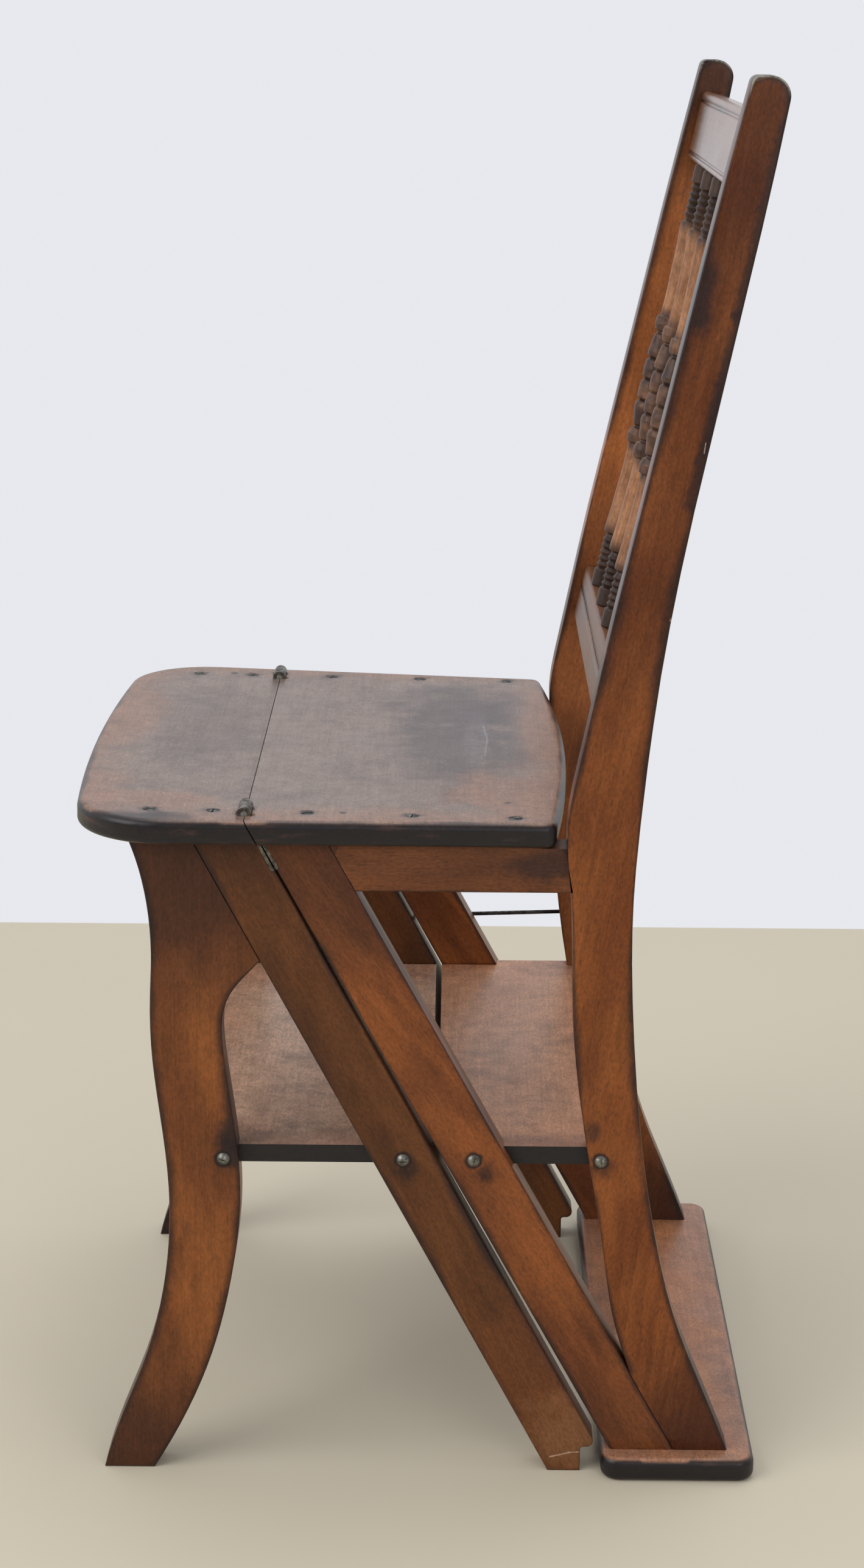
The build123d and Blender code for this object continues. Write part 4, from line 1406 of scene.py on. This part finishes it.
@dataclass
class Treads:
    """The two seat boards, the two shelf boards and the plinth board.

    Attributes:
        cell: The longest edge of the mesh on their faces.
        heart_depth: How far the tree's heart lies under them.
        seat: The finish of the seat.
        front_shelf: The finish of the front part of the middle shelf.
        rear_shelf: The finish of its rear part, which is less grey.
        plinth: The finish of the plinth board.
        shadow: The colour of the seat's dark patches.
        painted_highlight: The colour of painted highlight on the seat's top: a thin pale crescent and a faint
            pale patch beside it.
        plug: The half sizes of a small plugged hole in the seat.
        split_run: How far the split runs back for each metre that it drops.
        split_reach: How near a point has to be to lie at the split.
        screw_row: How far from the chair's middle the rows of screws run.
        hole_reach: How far a hole's wall may lie from its row.
        row_end: How far inside a board's ends the holes begin.
        row_margin: How far inside a board's sides they begin.
    """

    cell: float = 8 * MM
    heart_depth: float = 70 * MM
    # The seat's greyish bare colour is partly painted sheen, paler than the worn wood to stand in for the pale
    # wall's gloss on its top.
    seat: Tread = Tread(bare=(0.196, 0.142, 0.116), warm=(0.250, 0.130, 0.082))
    # Painted light: the shelves' colours are raised well above the wood's own, to stand in for the light and
    # sheen that reach them under the seat.
    front_shelf: Tread = Tread(bare=(0.60, 0.370, 0.250), warm=(0.56, 0.300, 0.190), edge_width=4 * MM,
                               scuffed=(0.014, 0.009, 0.008))
    rear_shelf: Tread = Tread(bare=(0.58, 0.290, 0.165), warm=(0.55, 0.250, 0.135), edge_width=4 * MM,
                              scuffed=(0.014, 0.009, 0.008))
    plinth: Tread = Tread(bare=(0.385, 0.152, 0.062), warm=(0.310, 0.158, 0.100), edge_width=4 * MM)
    shadow: Colour = (0.058, 0.040, 0.043)
    painted_highlight: Colour = (0.36, 0.34, 0.35)
    plug: Place = (3 * MM, 4 * MM, 0.1)
    split_run: float = field(default_factory=lambda: (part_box("left_rear_diagonal")[1].x - HINGE.x) / HINGE.z)
    split_reach: float = 14 * MM
    screw_row: float = 189 * MM
    hole_reach: float = 6 * MM
    row_end: float = 12 * MM
    row_margin: float = 4 * MM

    def seat_marks(self, half: str, heads: tuple[Vector, ...]) -> Marks:
        """What has marked one half of the seat: dark and warm patches, painted highlight, and its screws.

        Args:
            half: The half of the seat, front or rear.
            heads: Where the heads of the screws through it are.

        Returns:
            The marks.
        """
        top, deep = 0.446, 0.1
        if half == "front":
            smudges = (Smudge((-0.175, -0.165, top), (0.05, 0.028, deep), 0.62, self.seat.warm),
                       Smudge((-0.196, 0.07, top), (0.02, 0.075, deep), 0.48, self.seat.warm),
                       Smudge((-0.150, 0.02, top), (0.045, 0.13, deep), 0.3, self.shadow),
                       Smudge((-0.188, -0.208, top), (0.045, 0.017, deep), 0.85, self.seat.black))
            plugs = (Smudge((-0.1433, 0.1927, top), self.plug, 0.8, self.seat.black),)
            return Marks(smudges=smudges + plugs, screws=heads)
        smudges = (Smudge((0.024, 0.095, top), (0.055, 0.080, deep), 0.72, self.shadow),
                   Smudge((0.030, -0.020, top), (0.055, 0.14, deep), 0.72, self.shadow),
                   # The faint pale patch here is painted highlight on the seat's top.
                   Smudge((0.038, 0.010, top), (0.012, 0.07, deep), 0.10, self.painted_highlight),
                   Smudge((0.070, -0.13, top), (0.060, 0.075, deep), 0.8, self.seat.warm),
                   Smudge((0.086, 0.05, top), (0.022, 0.12, deep), 0.7, self.seat.warm),
                   Smudge((-0.02, -0.19, top), (0.09, 0.022, deep), 0.36, self.seat.warm),
                   Smudge((-0.0475, -0.1864, top), self.plug, 0.8, self.seat.black),
                   Smudge((0.057, -0.1532, top), self.plug, 0.8, self.seat.black))
        # The thin pale crescent is a painted highlight.
        scratches = (Scratch((0.0425, 0.050, top), (0.0450, 0.012, top), 1.1 * MM, 0.34, self.painted_highlight),
                     Scratch((0.0450, 0.012, top), (0.0430, -0.036, top), 1.0 * MM, 0.30, self.painted_highlight))
        return Marks(smudges=smudges, scratches=scratches, screws=heads)

    def shelf_marks(self, node: str) -> Marks:
        """What has marked a shelf board: dark smears along its left edge. The plinth board has none.

        Args:
            node: The board's node.

        Returns:
            The marks.
        """
        dirt = self.front_shelf.dirt
        smears = {
            "front_shelf": (Smudge((-0.075, -0.182, 0.226), (0.09, 0.030, 0.1), 0.42, dirt),),
            "rear_shelf": (Smudge((0.10, -0.186, 0.226), (0.10, 0.020, 0.1), 0.36, dirt),),
        }
        return Marks(smudges=smears.get(node, ()))

    def build(self, neighbours: Neighbours) -> None:
        """Builds and dresses every board.

        Args:
            neighbours: Tells open arrises from those that lie against another piece.
        """
        finishes = {"front_seat_board": self.seat, "rear_seat_board": self.seat,
                    "front_shelf": self.front_shelf, "rear_shelf": self.rear_shelf,
                    "plinth_board": self.plinth}
        heads = screw_heads("front_seat_screws", UP) + screw_heads("rear_seat_screws", UP)
        for place, (node, finish) in enumerate(finishes.items()):
            piece = self.board(node, neighbours)
            own = tuple(head for head in heads if self.crosses(piece, head))
            marks = self.seat_marks(node.split("_")[0], own) if "seat" in node else self.shelf_marks(node)
            heart = -self.heart_depth * UP
            grain = grain_through(node, TO_RIGHT, BACKWARD, heart, 1.7 * place + 0.4)
            dress(piece, finish.material(node + "_wear", grain, marks))

    def crosses(self, piece: bpy.types.Object, head: Vector) -> bool:
        """Whether a screw's head lies in a board's top."""
        return (piece.closest_point_on_mesh(head)[1] - head).length < HEAD_REACH

    def board(self, node: str, neighbours: Neighbours) -> bpy.types.Object:
        """A copy of a board with each point's distance from the open rim.

        Args:
            node: The board's node.
            neighbours: Tells open arrises from those that lie against another piece.

        Returns:
            The piece.
        """
        soft = SoftBoard(node, 0.0, UP, cell=self.cell)
        piece = soft.build(neighbours)
        mesh = piece.data
        low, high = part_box(node)
        walls = [vertex.co.copy() for vertex in mesh.vertices if abs(vertex.normal.z) < 0.5
                 and not self.at_split(vertex.co) and not self.in_hole(vertex, low, high)]
        soft.measure(mesh, "rim", walls)
        return piece

    def at_split(self, place: Vector) -> bool:
        """Whether a place lies at the split between the front and the rear half, or at its hinges."""
        run = (HINGE.z - place.z) * self.split_run
        return abs(place.x - HINGE.x - run) < self.split_reach

    def in_hole(self, vertex: bpy.types.MeshVertex, low: Vector, high: Vector) -> bool:
        """Whether a point lies in the wall of a screw's hole.

        Args:
            vertex: The point.
            low: The board's lowest corner.
            high: Its highest corner.

        Returns:
            True for a point in a row of screws and inside the board's rim.
        """
        place = vertex.co
        inside_x = low.x + self.row_end < place.x < high.x - self.row_end
        inside_y = low.y + self.row_margin < place.y < high.y - self.row_margin
        return inside_x and inside_y and abs(abs(place.y) - self.screw_row) < self.hole_reach


@dataclass
class SpindleBack:
    """The crest rail, the lower rail and the turned spindles between them.

    Attributes:
        crest: The finish of the crest rail.
        lower: The finish of the lower rail.
        turning: The finish of the spindles.
        pin: How far a spindle's pin goes into a rail.
        cell: The longest edge of the mesh on the rails' faces.
    """

    crest: Varnish = Varnish(light=(0.18, 0.076, 0.037), body=(0.13, 0.055, 0.028), reach=1.5 * MM,
                             roughness=0.17, shine=0.5)
    lower: Varnish = Varnish(light=(0.16, 0.066, 0.030), body=(0.11, 0.046, 0.022), reach=2 * MM,
                             roughness=0.33)
    turning: Turning = Turning()
    pin: float = 9 * MM
    cell: float = 9 * MM

    def build(self, neighbours: Neighbours) -> None:
        """Builds and dresses the rails and the spindles.

        Args:
            neighbours: Tells open arrises from those that lie against another piece.
        """
        upward = Vector((math.sin(BACK_LEAN), 0.0, math.cos(BACK_LEAN)))
        finishes = {"crest_rail": self.crest, "lower_back_rail": self.lower}
        for place, (node, finish) in enumerate(finishes.items()):
            piece = SoftBoard(node, 0.0, BACKWARD, cell=self.cell).build(neighbours)
            grain = Grain((0.0, 1.0, 0.0), tuple(upward), (0.05, 0.0, 0.4), 2.3 * place + 1.1)
            dress(piece, finish.material(node + "_varnish", grain))
        for number in range(1, 5):
            node = f"spindle_{number}"
            piece = node_object(node)
            low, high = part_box(node)
            half = (high.z - low.z) / 2 / upward.z - self.pin
            middle = (low + high) / 2
            dress(piece, self.turning.material(node + "_turning", middle, upward, half, 1.3 * number))


@dataclass
class Ironwork:
    """The hinges, screws, wire catch and its eye, and the dowels inside the joints.

    Attributes:
        brass: The hinges' leaves and their screws.
        knuckle: The ends of the hinges' pins, which the seat has rubbed.
        steel: The screws through the side frames, under the plinth board and at the catch.
        seat_steel: The seat's screws, darker than the others.
        wire: The catch and its eye.
        dowel: The bare dowels.
    """

    brass: Metal = Metal((0.21, 0.195, 0.165), (0.070, 0.062, 0.052), 0.40, 0.55)
    knuckle: Metal = Metal((0.50, 0.48, 0.46), (0.22, 0.20, 0.19), 0.36, 0.35)
    steel: Metal = Metal((0.26, 0.255, 0.225), (0.11, 0.105, 0.090), 0.42, 0.5)
    seat_steel: Metal = Metal((0.16, 0.155, 0.14), (0.05, 0.046, 0.042), 0.42, 0.6)
    wire: Metal = Metal((0.10, 0.095, 0.09), (0.035, 0.03, 0.028), 0.4, 0.6)
    dowel: Varnish = Varnish(light=(0.45, 0.27, 0.13), body=(0.38, 0.22, 0.10), reach=0.1 * MM)

    def build(self) -> None:
        """Dresses every metal piece and the dowels, each by the first word that its name holds."""
        brass, steel = self.brass.material("tarnished_brass"), self.steel.material("dull_steel")
        seat_steel = self.seat_steel.material("darkened_steel")
        knuckle, wire = self.knuckle.material("rubbed_knuckle"), self.wire.material("dark_wire")
        dowel = self.dowel.material("bare_dowel", Grain((1.0, 0.0, 0.0), (0.0, 1.0, 0.0)))
        finishes = {"dowel": dowel, "hinge_screws": brass, "leaf": brass, "hinge_pin": knuckle,
                    "seat_screws": seat_steel, "screw": steel, "catch": wire}
        for node, piece in frame["nodes"].items():
            finish = next((finish for word, finish in finishes.items() if word in node), None)
            if finish:
                dress(piece, finish)


@dataclass(frozen=True)
class Lamp:
    """A square soft lamp that looks at the chair's middle.

    Attributes:
        name: Its name.
        place: Where it hangs.
        size: The length of its side.
        power: Its power in watts.
        colour: Its colour.
        aim: The place that it looks at.
    """

    name: str
    place: Place
    size: float
    power: float
    colour: Colour
    aim: Place = (0.0, 0.0, 0.45)

    def build(self) -> None:
        """Hangs the lamp."""
        data = bpy.data.lights.new(self.name, "AREA")
        data.shape, data.size, data.energy, data.color = "SQUARE", self.size, self.power, self.colour
        lamp = placed(self.name, data)
        lamp.location = self.place
        lamp.rotation_euler = (Vector(self.aim) - Vector(self.place)).to_track_quat("-Z", "Y").to_euler()


@dataclass
class Studio:
    """The pale floor, the plain wall, the soft light and the camera.

    Attributes:
        focal_pixels: The camera's focal length in pixels of the full picture.
        picture_height: The full picture's height in pixels.
        sensor: The camera's sensor height in millimetres.
        stand: Where the camera stands from the hinge line's left end at the floor.
        pitch: How far it looks down, in radians.
        yaw: How far it is turned to the left, in radians.
        roll: How far it is tipped, in radians.
        lamps: The soft lamps.
        sky: The colour of the light from all round.
        sky_strength: Its strength.
        floor_colour: The floor's colour.
        wall_colour: The colour of the wall and of what lies beyond the floor.
        floor_sides: How many sides the round floor has.
        floor_reach: The round floor's radius.
        floor_fade: How far it fades out beyond that.
        wall_place: How far the wall stands from the chair's middle.
        wall_height: The wall's height.
    """

    focal_pixels: float = 4861.43
    picture_height: float = 2576.0
    sensor: float = 36.0
    stand: Place = (0.130430, -1.975158, 0.949514)
    pitch: float = 0.263536
    yaw: float = 0.0074123
    roll: float = -0.0056376
    lamps: tuple[Lamp, ...] = (
        Lamp("window_light", (-2.4, -1.6, 2.3), 2.4, 58.0, (1.0, 0.985, 0.96)),
        Lamp("fill_light", (1.6, -3.2, 1.7), 2.2, 30.0, (1.0, 0.98, 0.95)),
        Lamp("top_light", (0.2, 0.6, 3.2), 2.0, 26.0, (0.97, 0.98, 1.0)),
    )
    sky: Colour = (0.93, 0.96, 1.0)
    sky_strength: float = 0.68
    floor_colour: Colour = (0.60, 0.535, 0.415)
    wall_colour: Colour = (0.80, 0.81, 0.85)
    floor_sides: int = 160
    floor_reach: float = 3.2
    floor_fade: float = 0.05
    wall_place: float = 0.975
    wall_height: float = 3.0

    def build(self) -> None:
        """Builds the floor, the wall, the world, the lamps and the camera."""
        self.floor()
        self.wall()
        self.world()
        for lamp in self.lamps:
            lamp.build()
        self.camera()
        bpy.context.scene.view_settings.view_transform = "Standard"

    def sheet(self, name: str, rim: list[Place], material: bpy.types.Material) -> None:
        """Lays out a flat sheet that isn't part of the chair.

        Args:
            name: Its name.
            rim: Its corners in order.
            material: Its finish.
        """
        mesh = bpy.data.meshes.new(name)
        mesh.from_pydata(rim, [], [tuple(range(len(rim)))])
        sheet = placed(name, mesh)
        dress(sheet, material)

    def show(self, material: bpy.types.Material, share: Source, first: Source, second: Source) -> None:
        """Shows a blend of two shaders on a material.

        Args:
            material: The material.
            share: How much of the second shader shows.
            first: The first shader's output.
            second: The second shader's output.
        """
        graph = Graph(material.node_tree)
        blend = graph.add("MixShader", {0: share, 1: first, 2: second})
        graph.feed(material.node_tree.nodes["Material Output"].inputs["Surface"], blend.outputs[0])

    def floor(self) -> None:
        """A plain round floor that fades out into the pale background."""
        reach, fade = self.floor_reach, self.floor_fade
        turns = [math.tau * side / self.floor_sides for side in range(self.floor_sides)]
        rim = [(math.cos(turn) * (reach + fade), math.sin(turn) * (reach + fade), 0.0) for turn in turns]
        material, graph, shader = new_material("pale_floor")
        place = graph.add("TexCoord").outputs["Object"]
        cloudy = graph.noise(place, 4.0, 3.0)
        colour = graph.mix(cloudy, scaled(self.floor_colour, 0.96), self.floor_colour)
        graph.feed(shader.inputs["Base Color"], colour)
        shader.inputs["Roughness"].default_value = 0.7
        clear = graph.add("BsdfTransparent").outputs[0]
        away = graph.ramp(graph.vector("LENGTH", place), reach - fade, reach + fade)
        self.show(material, away, shader.outputs[0], clear)
        self.sheet("floor", rim, material)

    def wall(self) -> None:
        """A plain wall that the camera alone sees, and only from its front, so that it hides nothing."""
        end, place, top = self.floor_reach + 2 * self.floor_fade, self.wall_place, self.wall_height
        rim = [(-end, place, 0.0), (end, place, 0.0), (end, place, top), (-end, place, top)]
        material, graph, shader = new_material("plain_wall")
        graph.feed(shader.inputs["Base Color"], (0.0, 0.0, 0.0))
        shader.inputs["Specular IOR Level"].default_value = 0.0
        graph.feed(shader.inputs["Emission Color"], self.wall_colour)
        shader.inputs["Emission Strength"].default_value = 1.0
        front = graph.math("SUBTRACT", 1.0, graph.add("NewGeometry").outputs["Backfacing"])
        shown = graph.math("MULTIPLY", graph.add("LightPath").outputs["Is Camera Ray"], front)
        clear = graph.add("BsdfTransparent").outputs[0]
        self.show(material, shown, clear, shader.outputs[0])
        self.sheet("wall", rim, material)

    def world(self) -> None:
        """Soft light from all round, with the pale wall for what the camera and the gloss see."""
        world = bpy.data.worlds.new("soft_room")
        world.use_nodes = True
        graph = Graph(world.node_tree)
        for node in list(world.node_tree.nodes):
            world.node_tree.nodes.remove(node)
        light = graph.add("Background", {"Color": self.sky, "Strength": self.sky_strength}).outputs[0]
        wall = graph.add("Background", {"Color": self.wall_colour, "Strength": 1.0}).outputs[0]
        toward_wall = graph.add("SeparateXYZ", {0: graph.add("TexCoord").outputs["Generated"]}).outputs["Y"]
        glint = graph.ramp(toward_wall, -0.7, 0.35, 0.25, 1.05)
        room = graph.add("Background", {"Color": self.wall_colour, "Strength": glint}).outputs[0]
        path = graph.add("LightPath")
        shiny = graph.math("MAXIMUM", path.outputs["Is Glossy Ray"], path.outputs["Is Transmission Ray"])
        blend = graph.add("MixShader", {0: shiny, 1: light, 2: room}).outputs[0]
        blend = graph.add("MixShader", {0: path.outputs["Is Camera Ray"], 1: blend, 2: wall})
        graph.add("OutputWorld", {"Surface": blend.outputs[0]})
        bpy.context.scene.world = world

    def camera(self) -> None:
        """The camera where the picture was taken from, with the picture's lens."""
        data = bpy.data.cameras.new("camera")
        data.sensor_width = self.sensor
        data.lens = self.focal_pixels / self.picture_height * self.sensor
        camera = placed("camera", data)
        right = Vector((math.cos(self.yaw), math.sin(self.yaw), 0.0))
        ahead = Vector((-math.sin(self.yaw), math.cos(self.yaw), 0.0))
        look = math.cos(self.pitch) * ahead - math.sin(self.pitch) * UP
        up = math.sin(self.pitch) * ahead + math.cos(self.pitch) * UP
        side = math.cos(self.roll) * right - math.sin(self.roll) * up
        top = math.sin(self.roll) * right + math.cos(self.roll) * up
        turn = Matrix((side, top, -look)).transposed().to_4x4()
        camera.matrix_world = Matrix.Translation(Vector((HINGE.x, 0.0, 0.0)) + Vector(self.stand)) @ turn
        bpy.context.scene.camera = camera


def main() -> None:
    """Builds every sub-assembly in order."""
    logging.basicConfig(level=logging.INFO, format="%(name)s %(message)s")
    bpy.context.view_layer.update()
    neighbours = Neighbours()
    SideFrames().build(neighbours)
    Treads().build(neighbours)
    SpindleBack().build(neighbours)
    Ironwork().build()
    Studio().build()


if __name__ == "__main__":
    main()
